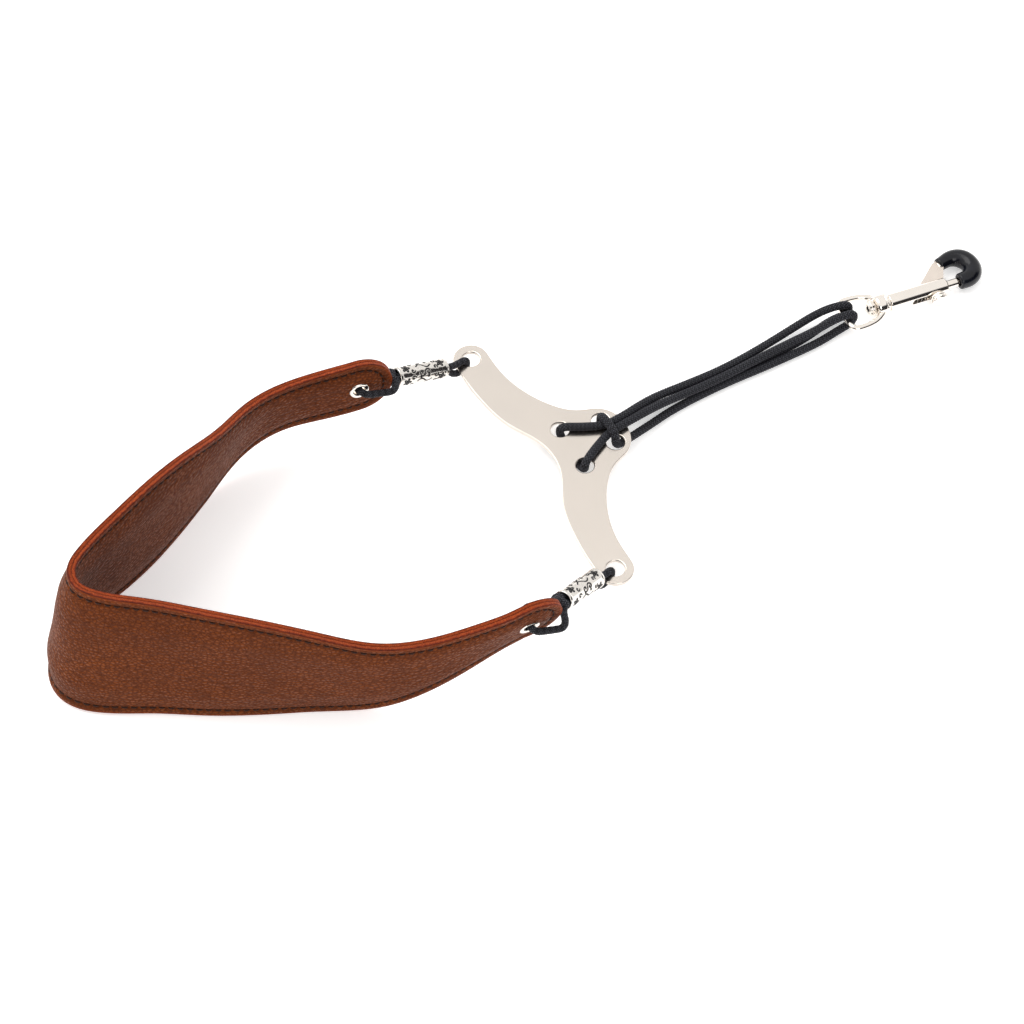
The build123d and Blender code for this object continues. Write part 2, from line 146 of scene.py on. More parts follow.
def even_line(line, step):
    """A line resampled at even steps along its length."""
    line = np.asarray(line, float)
    along = lengths_along(line)
    count = max(3, int(round(along[-1] / step)) + 1)
    return values_at(np.linspace(0, along[-1], count), along, line)


def rounded_path(points, radii, steps=10):
    """A wire's path: straight runs joined by arcs of the given radii."""
    points = [Vector(p) for p in points]
    path = [points[0]]
    for before, here, after, radius in zip(points, points[1:], points[2:], radii):
        to_before = (before - here).normalized()
        to_after = (after - here).normalized()
        half = to_before.angle(to_after) / 2
        reach = radius / np.tan(half)
        centre = here + (to_before + to_after).normalized() * (radius / sin(half))
        start = here + to_before * reach - centre
        end = here + to_after * reach - centre
        sweep = start.angle(end)
        for i in range(steps + 1):
            t = i / steps
            path.append(centre + (start * sin((1 - t) * sweep) + end * sin(t * sweep)) / sin(sweep))
    path.append(points[-1])
    return np.array([tuple(p) for p in path])


def lathe_points(profile, segments, ripple=None):
    """Rings for a profile of (along, radius). ripple(angle, radius) scales the radius."""
    points = []
    for along, radius in profile:
        for k in range(segments):
            angle = 2 * pi * k / segments
            scale = ripple(angle, radius) if ripple else 1.0
            points.append((along, radius * scale * cos(angle), radius * scale * sin(angle)))
    return np.array(points)


def turned_ring(profile, segments=96, ripple=None, origin=(0, 0, 0), direction=(1, 0, 0)):
    """A closed profile turned round an axis."""
    points = moved(lathe_points(profile, segments, ripple), axis_matrix(origin, direction))
    return points, grid_faces(len(profile), segments, closed_rows=True, closed_columns=True)


def softened(profile, radius, steps=4):
    """A closed profile whose corners are rounded by up to radius."""
    most = 0.45
    result = []
    for i, here in enumerate(profile):
        here = np.array(here, float)
        before = np.array(profile[i - 1], float) - here
        after = np.array(profile[(i + 1) % len(profile)], float) - here
        reach = min(radius, most * np.linalg.norm(before), most * np.linalg.norm(after))
        start = here + unit(before) * reach
        end = here + unit(after) * reach
        for k in range(steps + 1):
            t = k / steps
            result.append(tuple((1 - t) ** 2 * start + 2 * t * (1 - t) * here + t * t * end))
    return result


def axis_matrix(origin, direction):
    """Places local +X along direction at origin (millimetres)."""
    x = unit(direction)
    up = (0, 1, 0) if abs(x[2]) > 0.99 else (0, 0, 1)
    y = unit(np.cross(up, x))
    z = np.cross(x, y)
    matrix = np.eye(4)
    matrix[:3, 0], matrix[:3, 1], matrix[:3, 2], matrix[:3, 3] = x, y, z, origin
    return matrix


def moved(points, matrix):
    points = np.asarray(points, float)
    return points @ matrix[:3, :3].T + matrix[:3, 3]


def joined(parts):
    """One list of points and faces from several, each numbered from 0."""
    all_points, all_faces, total = [], [], 0
    for points, faces in parts:
        all_points.append(np.asarray(points, float))
        all_faces += [tuple(i + total for i in face) for face in faces]
        total += len(points)
    return np.concatenate(all_points), all_faces


def apply_modifiers(piece):
    """Replaces a piece's mesh by what its modifiers make of it."""
    graph = bpy.context.evaluated_depsgraph_get()
    made = bpy.data.meshes.new_from_object(piece.evaluated_get(graph), depsgraph=graph)
    piece.modifiers.clear()
    piece.data = made


def cut_away(piece, cutter):
    """Cuts one closed mesh out of another."""
    modifier = piece.modifiers.new("cut", "BOOLEAN")
    modifier.operation = "DIFFERENCE"
    modifier.solver = "EXACT"
    modifier.object = cutter
    apply_modifiers(piece)
    bpy.data.objects.remove(cutter)


# ---- Material kit ----


class NodeKit:
    """Builds a node tree a line at a time. Each value is a number, a vector, a colour or a socket."""

    def __init__(self, tree):
        self.tree = tree

    def feed(self, value, target):
        """Links an input to a socket, or sets it to a number, a vector or a colour."""
        if isinstance(value, bpy.types.NodeSocket):
            self.tree.links.new(value, target)
        elif isinstance(value, tuple) and len(value) < len(target.default_value):
            target.default_value = (*value, 1)
        else:
            target.default_value = value

    def add(self, kind, *values, operation=None, **named):
        """A new node with its inputs set, in their order or by name."""
        node = self.tree.nodes.new("ShaderNode" + kind)
        if operation:
            node.operation = operation
        for value, target in zip(values, node.inputs):
            self.feed(value, target)
        for name, value in named.items():
            self.feed(value, node.inputs[name])
        return node

    def maths(self, operation, first, second=0.0):
        return self.add("Math", first, second, operation=operation).outputs[0]

    def ramp(self, factor, stops):
        node = self.add("ValToRGB", factor)
        elements = node.color_ramp.elements
        while len(elements) < len(stops):
            elements.new(0.5)
        for element, (position, colour) in zip(elements, stops):
            element.position = position
            element.color = (*colour, 1)
        return node.outputs[0]

    def grey_ramp(self, factor, stops):
        return self.ramp(factor, [(position, (v, v, v)) for position, v in stops])

    def mix(self, factor, first, second, blend="MIX"):
        node = self.tree.nodes.new("ShaderNodeMix")
        node.data_type = "RGBA"
        node.blend_type = blend
        for value, index in zip((factor, first, second), (0, 6, 7)):
            self.feed(value, node.inputs[index])
        return node.outputs[2]


class Shader(NodeKit):
    """A node material on object coordinates."""

    SOCKETS = {
        "base": "Base Color", "roughness": "Roughness", "normal": "Normal", "metallic": "Metallic",
        "specular": "Specular IOR Level", "glow": "Emission Color", "glow_strength": "Emission Strength",
    }

    def __init__(self, name):
        self.material = bpy.data.materials.new(name)
        self.material.use_nodes = True
        super().__init__(self.material.node_tree)
        self.coords = self.add("TexCoord").outputs["Object"]

    def finished(self, **values):
        """The material, with the inputs of its surface set."""
        surface = self.tree.nodes["Principled BSDF"]
        for name, value in values.items():
            self.feed(value, surface.inputs[self.SOCKETS[name]])
        return self.material

    def stretched(self, scale):
        return self.add("Mapping", Scale=scale, Vector=self.coords).outputs["Vector"]

    def noise(self, size_mm, detail=3.0, roughness=0.55, distortion=0.0, vector=None):
        return self.add(
            "TexNoise", Scale=1 / (size_mm * MM), Detail=detail, Roughness=roughness, Distortion=distortion,
            Vector=vector or self.coords,
        ).outputs["Fac"]

    def cells(self, size_mm, feature="SMOOTH_F1", vector=None):
        node = self.add("TexVoronoi")
        node.feature = feature
        self.feed(1 / (size_mm * MM), node.inputs["Scale"])
        self.feed(vector or self.coords, node.inputs["Vector"])
        return node.outputs["Distance"]

    def attribute(self, name):
        node = self.add("Attribute")
        node.attribute_name = name
        return node.outputs["Fac"]

    def bump(self, height, strength, distance_mm):
        return self.add("Bump", Height=height, Strength=strength, Distance=distance_mm * MM).outputs["Normal"]


def leather_material():
    """Pebbled saddle-brown hide: rounded grain over a millimetre across, with painted shade darkening its
    creases and its seam groove.
    """
    s = Shader("pebbled_leather")
    wander = s.noise(5.0, 2.0)
    shift = s.add("CombineXYZ", wander, wander, wander).outputs[0]
    amount = (0.0016, 0.0016, 0.0016)
    drawn_out = s.stretched((0.72, 0.9, 1.12))
    bent = s.add("VectorMath", shift, amount, drawn_out, operation="MULTIPLY_ADD").outputs[0]
    grain_mm = 1.35
    pebbles = s.cells(grain_mm, vector=bent)
    creases = s.cells(grain_mm, feature="DISTANCE_TO_EDGE", vector=bent)
    fine = s.noise(0.40, 3.0)
    hide = s.noise(26.0, 4.0, 0.6)
    tone = s.ramp(hide, [
        (0.30, (0.125, 0.0275, 0.0040)), (0.52, (0.170, 0.0380, 0.0050)), (0.74, (0.225, 0.0520, 0.0065)),
    ])
    # painted shade: the base colour is darkened in the creases between the pebbles
    crease_shade = s.grey_ramp(creases, [(0.0, 0.0), (0.26, 1.0)])
    crease_shaded_tone = s.mix(crease_shade, (0.046, 0.009, 0.0028), tone)
    speckled = s.mix(0.22, crease_shaded_tone, s.ramp(fine, [(0.35, (0.09, 0.020, 0.004)), (0.7, (0.29, 0.075, 0.014))]))
    worn = s.mix(s.attribute("rim"), speckled, (0.24, 0.042, 0.006))
    # painted shade: the base colour is darkened along the seam groove
    seam = s.maths("MULTIPLY", s.attribute("seam"), 0.35)
    height = s.maths("ADD", s.maths("MULTIPLY", pebbles, -1.0), s.maths("MULTIPLY", fine, 0.16))
    return s.finished(
        base=s.mix(seam, worn, (0.070, 0.015, 0.004)), normal=s.bump(height, 1.0, 0.55),
        roughness=s.grey_ramp(creases, [(0.0, 0.70), (0.3, 0.42)]), specular=0.09,
    )


def raw_edge_material():
    """Cut edge of the two hides: dyed orange-red, fibrous, with the glue lines between the layers."""
    s = Shader("dyed_leather_edge")
    fibres = s.noise(0.42, 5.0, 0.75, 0.8)
    patches = s.noise(5.0, 3.0)
    layer = s.attribute("layer")
    bend = s.maths("MULTIPLY", s.maths("SUBTRACT", s.noise(1.6, 3.0), 0.5), 0.42)
    line = s.maths("ADD", layer, bend)
    dye = s.ramp(fibres, [
        (0.34, (0.12, 0.014, 0.0025)), (0.50, (0.34, 0.048, 0.0075)), (0.66, (0.56, 0.115, 0.0200)),
    ])
    dark = s.ramp(line, [
        (0.0, (0.10, 0.04, 0.03)), (0.14, (0.42, 0.30, 0.25)), (0.26, (1, 1, 1)), (0.45, (1, 1, 1)),
        (0.52, (0.35, 0.22, 0.18)), (0.59, (1, 1, 1)), (0.78, (1, 1, 1)), (0.88, (0.42, 0.30, 0.25)),
        (1.0, (0.10, 0.04, 0.03)),
    ])
    lined = s.mix(1.0, dye, dark, "MULTIPLY")
    return s.finished(
        base=s.mix(s.maths("MULTIPLY", patches, 0.28), lined, (0.24, 0.030, 0.005)),
        normal=s.bump(fibres, 1.0, 0.45), roughness=s.grey_ramp(fibres, [(0.3, 0.75), (0.7, 0.5)]),
        specular=0.2,
    )


def thread_material():
    s = Shader("waxed_thread")
    twist = s.noise(0.25, 3.0, vector=s.stretched((1.0, 1.0, 0.5)))
    return s.finished(
        base=s.ramp(twist, [(0.3, (0.012, 0.004, 0.003)), (0.7, (0.045, 0.013, 0.006))]),
        roughness=s.grey_ramp(twist, [(0.3, 0.7), (0.7, 0.5)]), normal=s.bump(twist, 0.6, 0.1), specular=0.2,
    )


def cord_material():
    """Tight polyester braid: bluish black, with painted highlight on each raised strand and painted shade
    where it passes under and at its sides.
    """
    s = Shader("black_braid")
    filament = s.noise(0.22, 4.0, 0.65)
    patches = s.noise(9.0, 2.0)
    # painted highlight and shade: the weave lift lightens raised strands and darkens those passing under
    lift = s.maths("MULTIPLY", s.attribute("weave"), s.maths("ADD", s.maths("MULTIPLY", filament, 0.6), 0.7))
    strand_highlight_and_shade = s.ramp(lift, [
        (0.0, (0.0005, 0.0005, 0.0008)), (0.5, (0.0035, 0.0038, 0.0060)), (0.95, (0.105, 0.108, 0.128)),
    ])
    return s.finished(
        base=s.mix(s.maths("MULTIPLY", patches, 0.3), strand_highlight_and_shade, (0.003, 0.0035, 0.0055)),
        roughness=s.grey_ramp(filament, [(0.3, 0.60), (0.7, 0.45)]), normal=s.bump(filament, 0.5, 0.08),
        specular=0.2,
    )


def metal_material(name, tint, roughness, haze=0.05, scratches=0.05, clouding=0.05):
    """Nickel plate with faint cloudiness and fine handling marks."""
    s = Shader(name)
    clouds = s.noise(14.0, 3.0)
    marks = s.noise(0.5, 4.0, 0.6, vector=s.stretched((0.12, 1.0, 1.0)))
    pale = tuple(min(1.0, c * (1 + clouding)) for c in tint)
    dull = tuple(c * (1 - clouding) for c in tint)
    clean = s.grey_ramp(clouds, [(0.3, roughness), (0.75, roughness + haze)])
    scratched = s.grey_ramp(marks, [(0.55, 0.0), (0.8, 0.35)])
    return s.finished(
        base=s.ramp(clouds, [(0.3, dull), (0.7, pale)]), metallic=1.0,
        roughness=s.mix(scratched, clean, (0.32, 0.32, 0.32)), normal=s.bump(marks, scratches, 0.02),
    )


def engraved_material():
    """Nickel sleeve: stippled pale ground, polished raised lines and blackened engraving."""
    s = Shader("engraved_nickel")
    ink = s.attribute("engraving")
    stipple = s.noise(0.28, 4.0, 0.7)
    ground = s.ramp(stipple, [(0.3, (0.60, 0.57, 0.54)), (0.7, (0.90, 0.87, 0.82))])
    depth = s.grey_ramp(ink, [(0.24, 0.0), (0.46, 1.0)])
    return s.finished(
        base=s.mix(depth, ground, (0.006, 0.006, 0.007)),
        metallic=s.maths("SUBTRACT", 1.0, s.maths("MULTIPLY", depth, 0.7)),
        roughness=s.mix(depth, s.grey_ramp(stipple, [(0.3, 0.08), (0.8, 0.22)]), (0.6, 0.6, 0.6)),
        normal=s.bump(stipple, 0.16, 0.03),
    )


def coating_material():
    """Glossy dipped rubber, blue-black."""
    s = Shader("dipped_rubber")
    runs = s.noise(3.5, 2.0)
    dust = s.noise(0.3, 3.0)
    return s.finished(
        base=s.ramp(runs, [(0.3, (0.0022, 0.0026, 0.0045)), (0.7, (0.0050, 0.0060, 0.0110))]),
        roughness=s.grey_ramp(dust, [(0.35, 0.16), (0.75, 0.26)]), normal=s.bump(runs, 0.2, 0.3),
        specular=0.35,
    )


def foam_material():
    s = Shader("open_cell_foam")
    pores = s.cells(0.8)
    # painted shade: the base colour darkens towards the middle of each pore
    base = s.ramp(pores, [(0.1, (0.18, 0.15, 0.11)), (0.6, (0.55, 0.49, 0.38))])
    return s.finished(base=base, roughness=0.9, normal=s.bump(pores, 0.8, 0.4))


LEATHER = leather_material()
RAW_EDGE = raw_edge_material()
THREAD = thread_material()
BRAID = cord_material()
NICKEL_PLATE = metal_material("polished_nickel_plate", (0.680, 0.625, 0.570), 0.20, 0.02, 0.03, 0.008)
NICKEL = metal_material("polished_nickel", (0.86, 0.81, 0.75), 0.07)
NICKEL_SATIN = metal_material("cast_nickel_satin", (0.78, 0.70, 0.63), 0.24, 0.10, 0.3)
SPRING_STEEL = metal_material("spring_wire", (0.55, 0.55, 0.57), 0.2)
ENGRAVED = engraved_material()
COATING = coating_material()
FOAM = foam_material()


def finish_node(name, material):
    """Gives a carried-over CAD node its material."""
    materials = NODES[name].data.materials
    materials.clear()
    materials.append(material)


# ---- Camera ----
VIEW_AZIMUTH = -29.0
VIEW_ELEVATION = 55.0
VIEW_DISTANCE = 1200.0
VIEW_TARGET = Vector((-18.0, -3.4, 0.0))
SENSOR_WIDTH = 36.0
LENS = 107.6


def aim(thing, place, direction):
    """Puts a camera or a light at a place in metres, looking along a direction."""
    thing.location = place
    thing.rotation_mode = "QUATERNION"
    thing.rotation_quaternion = direction.to_track_quat("-Z", "Y")


def make_camera():
    azimuth = radians(VIEW_AZIMUTH)
    elevation = radians(VIEW_ELEVATION)
    back = Vector((sin(azimuth) * cos(elevation), -cos(azimuth) * cos(elevation), sin(elevation)))
    data = bpy.data.cameras.new("camera")
    data.sensor_width = SENSOR_WIDTH
    data.lens = LENS
    data.clip_start = 0.05
    data.clip_end = 50.0
    camera = add_object("camera", data)
    aim(camera, (VIEW_TARGET + back * VIEW_DISTANCE) * MM, -back)
    bpy.context.scene.camera = camera


make_camera()

# ---- Cords ----
HOOK_ORIGIN = (146.2, 12.5, 5.6)
HOOK = np.array(
    Matrix.Translation(HOOK_ORIGIN)
    @ Matrix.Rotation(radians(-7.0), 4, "Z")
    @ Matrix.Rotation(radians(1.75), 4, "Y")
)
CORD_D = 3.3
TIE_D = 2.8


def at_hook(u, v, w):
    """A point of the hook's own frame: u along it from the bow's bar, v across, w up."""
    return tuple(moved([(u, v, w)], HOOK)[0])


def bight(v):
    """Corner points of one bight round the bow's bar, from over the bar to under it."""
    return [at_hook(3.2, v, 3.1), at_hook(3.2, v, -3.1)]


# from the knot up through the left back hole, over the plate and out to the snap hook
STRAND_1 = [
    (15.0, 11.3, 3.6), (15.0, 17.0, 4.7), (15.0, 17.0, 10.6), (22.4, 12.7, 10.6),
    (31.2, 8.75, 10.62), (40.5, 9.6, 10.55), (50.0, 12.4, 8.4), (59.0, 14.2, 6.3),
    (72.0, 14.3, 5.0), (87.0, 13.9, 4.9), (101.0, 15.4, 4.0), (114.5, 17.8, 2.7),
    (127.5, 19.8, 2.6), (137.0, 19.8, 4.8), (142.8, 17.2, 8.6),
]
# back under the first strand to the left front hole
STRAND_3 = [
    (141.0, 16.0, 1.9), (132.0, 13.9, 1.65), (121.0, 12.5, 1.66), (106.0, 12.2, 1.65),
    (91.0, 12.7, 1.66), (76.0, 12.6, 1.65), (61.0, 12.9, 1.66), (50.5, 13.1, 2.5),
    (41.0, 13.2, 4.7), (31.2, 13.0, 5.2),
]
# bridge over the plate, and out again below the second strand
BRIDGE = [(31.2, 13.0, 14.0), (31.2, 1.0, 14.0)]
STRAND_4 = [
    (31.2, 1.0, 5.2), (41.0, 2.9, 4.7), (50.5, 5.6, 2.5), (61.0, 8.1, 1.65), (76.0, 9.1, 1.66),
    (91.0, 9.3, 1.65), (106.0, 8.7, 1.66), (121.0, 8.6, 1.65), (132.0, 8.8, 1.66),
    (140.4, 9.9, 1.9),
]
# back over the plate to the right back hole and the knot
STRAND_2 = [
    (140.6, 11.3, 8.6), (131.0, 11.9, 5.8), (118.0, 12.1, 5.05), (103.0, 11.4, 5.0),
    (88.0, 10.4, 5.0), (73.0, 10.3, 5.1), (60.0, 9.9, 6.5), (50.0, 8.2, 8.6),
    (40.5, 6.1, 10.55), (31.2, 5.3, 10.62), (22.4, 1.3, 10.6), (15.0, -3.0, 10.6),
    (15.0, -3.0, 4.7), (15.0, 2.7, 3.6),
]
MAIN_ROUTE = STRAND_1 + bight(3.2) + STRAND_3 + BRIDGE + STRAND_4 + bight(-1.5)[::-1] + STRAND_2


def cord_line(route, resolution=24):
    """The smooth line of a cord: a NURBS spline on the route's points, as points in millimetres."""
    data = bpy.data.curves.new("route", "CURVE")
    data.dimensions = "3D"
    data.resolution_u = resolution
    spline = data.splines.new("NURBS")
    spline.points.add(len(route) - 1)
    for point, place in zip(spline.points, route):
        point.co = (place[0] * MM, place[1] * MM, place[2] * MM, 1.0)
    spline.order_u = 3
    spline.use_endpoint_u = True
    curve = add_object("route", data)
    mesh = bpy.data.meshes.new_from_object(curve)
    line = np.array([v.co for v in mesh.vertices]) / MM
    bpy.data.objects.remove(curve)
    bpy.data.curves.remove(data)
    bpy.data.meshes.remove(mesh)
    return line


def braid(line, diameter, carriers=8, lay=9.0, step=0.42):
    """A tubular braid over a solid core: points, faces, and how far up each point is in the weave."""
    line = even_line(line, step)
    side, up = carried_frames(line)
    along = np.arange(len(line)) * step
    radius = diameter / 2
    core_r = 0.76 * radius
    core_sides = 12
    parts = [capped_tube(line, core_r, core_sides)]
    lifts = [np.zeros(core_sides * len(line))]
    ribbon_half = 0.40 * 2 * pi * radius / carriers
    thick = 0.15 * radius
    shape = [(-1.0, -0.5), (-0.55, 0.75), (0.55, 0.75), (1.0, -0.5)]
    across_highlight_share = (0.4, 1.0, 1.0, 0.4)
    for direction in (1, -1):
        for k in range(carriers):
            turn = direction * 2 * pi * along / lay + 2 * pi * k / carriers
            weave = direction * np.cos(carriers * 2 * pi * along / lay)
            middle = radius * (0.885 + 0.075 * weave)
            rings = []
            for across, rise in shape:
                angle = turn + across * ribbon_half / radius
                reach = middle + rise * thick
                outward = side * np.cos(angle)[:, None] + up * np.sin(angle)[:, None]
                rings.append(line + outward * reach[:, None])
            points = np.stack(rings, axis=1).reshape(-1, 3)
            parts.append((points, capped_faces(len(line), len(shape))))
            # this lift is the mask of the painted highlight on raised strands and the painted shade under
            # them and at their sides
            lifts.append(np.repeat(0.5 + 0.5 * weave, len(shape)) * np.tile(across_highlight_share, len(line)))
    points, faces = joined(parts)
    return points, faces, np.concatenate(lifts)


def braided_object(name, made):
    """One mesh from a list of braids."""
    points, faces = joined([part[:2] for part in made])
    piece = mesh_object(name, points, faces, [BRAID])
    point_attribute(piece, "weave", np.concatenate([part[2] for part in made]))
    return piece


def knot_line(centre, axis, spread, depth, turn):
    """A closed trefoil, drawn tight: the shape of a simple knot seen along axis."""
    matrix = axis_matrix(centre, axis)
    t = np.linspace(0, 2 * pi, 160, endpoint=False) + turn
    flat_y = (np.sin(t) + 2 * np.sin(2 * t)) / 3 * spread
    flat_z = (np.cos(t) - 2 * np.cos(2 * t)) / 3 * spread
    return moved(np.stack([-np.sin(3 * t) * depth, flat_y, flat_z], axis=1), matrix)


def closed_braid(line, diameter):
    """A braid along a closed line, its end run past its start."""
    return braid(np.concatenate([line, line[:3]]), diameter, step=0.35)


KNOT_X = 15.0
KNOT_Y = 7.0


def make_knot():
    """The knot that joins the ends of the main cord under the plate, with two melted tails."""
    trefoil = knot_line((KNOT_X, KNOT_Y, 3.45), (0, 0, 1), 4.3, 1.45, turn=0.5)
    parts = [closed_braid(trefoil, 3.2)]
    melted = [(-0.9, 1.30), (-0.3, 1.60), (0.15, 1.60), (0.45, 1.25), (0.55, 0.6)]
    segments = 24
    for sign in (1, -1):
        tail_line = cord_line([
            (14.4, KNOT_Y + 1.6 * sign, 2.9), (12.0, KNOT_Y + 4.2 * sign, 2.2),
            (10.9, KNOT_Y + 8.5 * sign, 1.8), (10.6, KNOT_Y + 13.0 * sign, 1.75),
        ])
        parts.append(braid(tail_line, CORD_D - 0.1))
        end = axis_matrix(tail_line[-1], tail_line[-1] - tail_line[-3])
        points = moved(lathe_points(melted, segments), end)
        parts.append((points, capped_faces(len(melted), segments), np.zeros(len(points))))
    knot = braided_object("main_cord_knot", parts)
    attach(knot, "yoke")
    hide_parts("cord_knot")
    return knot


def make_main_cord():
    line = cord_line(MAIN_ROUTE)
    cord = braided_object("main_cord", [braid(line, CORD_D)])
    knot = make_knot()
    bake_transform(cord)
    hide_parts("cord_lacing", "cord_strands", "cord_bights")


make_main_cord()

# ---- Neck pad ----
# x, y of the middle of the pad, height of its lower edge, height of its upper edge, inward lean
PAD_STATIONS = np.array([
    (-51.8, 60.6, 15.7, 43.7, 0.0), (-59.2, 62.2, 15.0, 43.3, 0.5), (-68.0, 64.8, 13.3, 42.5, 3.0),
    (-82.0, 67.2, 11.8, 42.5, 7.4), (-99.7, 65.0, 6.8, 45.2, 12.0), (-116.4, 56.9, 0.5, 50.5, 12.4),
    (-132.9, 47.9, 0.0, 57.6, 9.8), (-150.5, 39.6, 0.0, 61.5, 8.0), (-169.4, 32.1, 0.0, 62.3, 8.9),
    (-186.7, 25.5, 0.0, 62.5, 11.4), (-197.2, 17.3, 0.0, 62.8, 12.8), (-199.8, 6.5, 0.0, 62.8, 13.6),
    (-192.6, -3.9, 0.0, 62.8, 10.9), (-177.8, -14.2, 0.0, 62.8, 7.7), (-160.7, -26.4, 0.0, 62.0, 4.9),
    (-142.2, -38.1, 0.0, 59.0, 1.4), (-122.7, -49.3, 0.0, 53.1, -2.3), (-104.2, -59.5, 3.3, 46.0, -2.7),
    (-85.6, -65.9, 11.4, 44.1, -2.4), (-67.1, -67.8, 15.7, 44.2, -8.0), (-57.0, -68.8, 18.2, 45.7, -12.0),
    (-48.6, -69.6, 20.3, 47.6, -12.5),
])
PAD_HALF_T = 2.5            # half the thickness of the CAD pad
EDGE_HALF_T = 1.65          # half the thickness at the cut edge
EDGE_ROUND = 0.42
GROOVE_DEPTH = 0.42
GROOVE_RIDGE = 0.10
SEAM_INSET = 3.6
STITCH_PITCH = 3.5
STITCH_HALF_LENGTH = 1.15
STITCH_DIP = 0.42
SECTION_STEP = 0.85
EYELET_FLANGE_R = 4.0


def smooth_step(t):
    t = np.clip(t, 0.0, 1.0)
    return t * t * (3 - 2 * t)


def cubic_through(knots, values, start_slope=None, end_slope=None):
    """A cubic spline through values; natural ends where no slope is given. Returns a function."""
    knots = np.asarray(knots, float)
    values = np.asarray(values, float)
    count = len(knots)
    gaps = np.diff(knots)
    rise = np.diff(values) / gaps
    system = np.zeros((count, count))
    right = np.zeros(count)
    for i in range(1, count - 1):
        system[i, i - 1: i + 2] = gaps[i - 1], 2 * (gaps[i - 1] + gaps[i]), gaps[i]
        right[i] = 6 * (rise[i] - rise[i - 1])
    if start_slope is None:
        system[0, 0] = 1
    else:
        system[0, :2] = 2 * gaps[0], gaps[0]
        right[0] = 6 * (rise[0] - start_slope)
    if end_slope is None:
        system[-1, -1] = 1
    else:
        system[-1, -2:] = gaps[-1], 2 * gaps[-1]
        right[-1] = 6 * (end_slope - rise[-1])
    bend = np.linalg.solve(system, right)

    def value(t):
        t = np.asarray(t, float)
        i = np.clip(np.searchsorted(knots, t) - 1, 0, count - 2)
        a = knots[i + 1] - t
        b = t - knots[i]
        h = gaps[i]
        curved = (bend[i] * a**3 + bend[i + 1] * b**3) / (6 * h)
        near = (values[i] / h - bend[i] * h / 6) * a
        far = (values[i + 1] / h - bend[i + 1] * h / 6) * b
        return curved + near + far

    return value


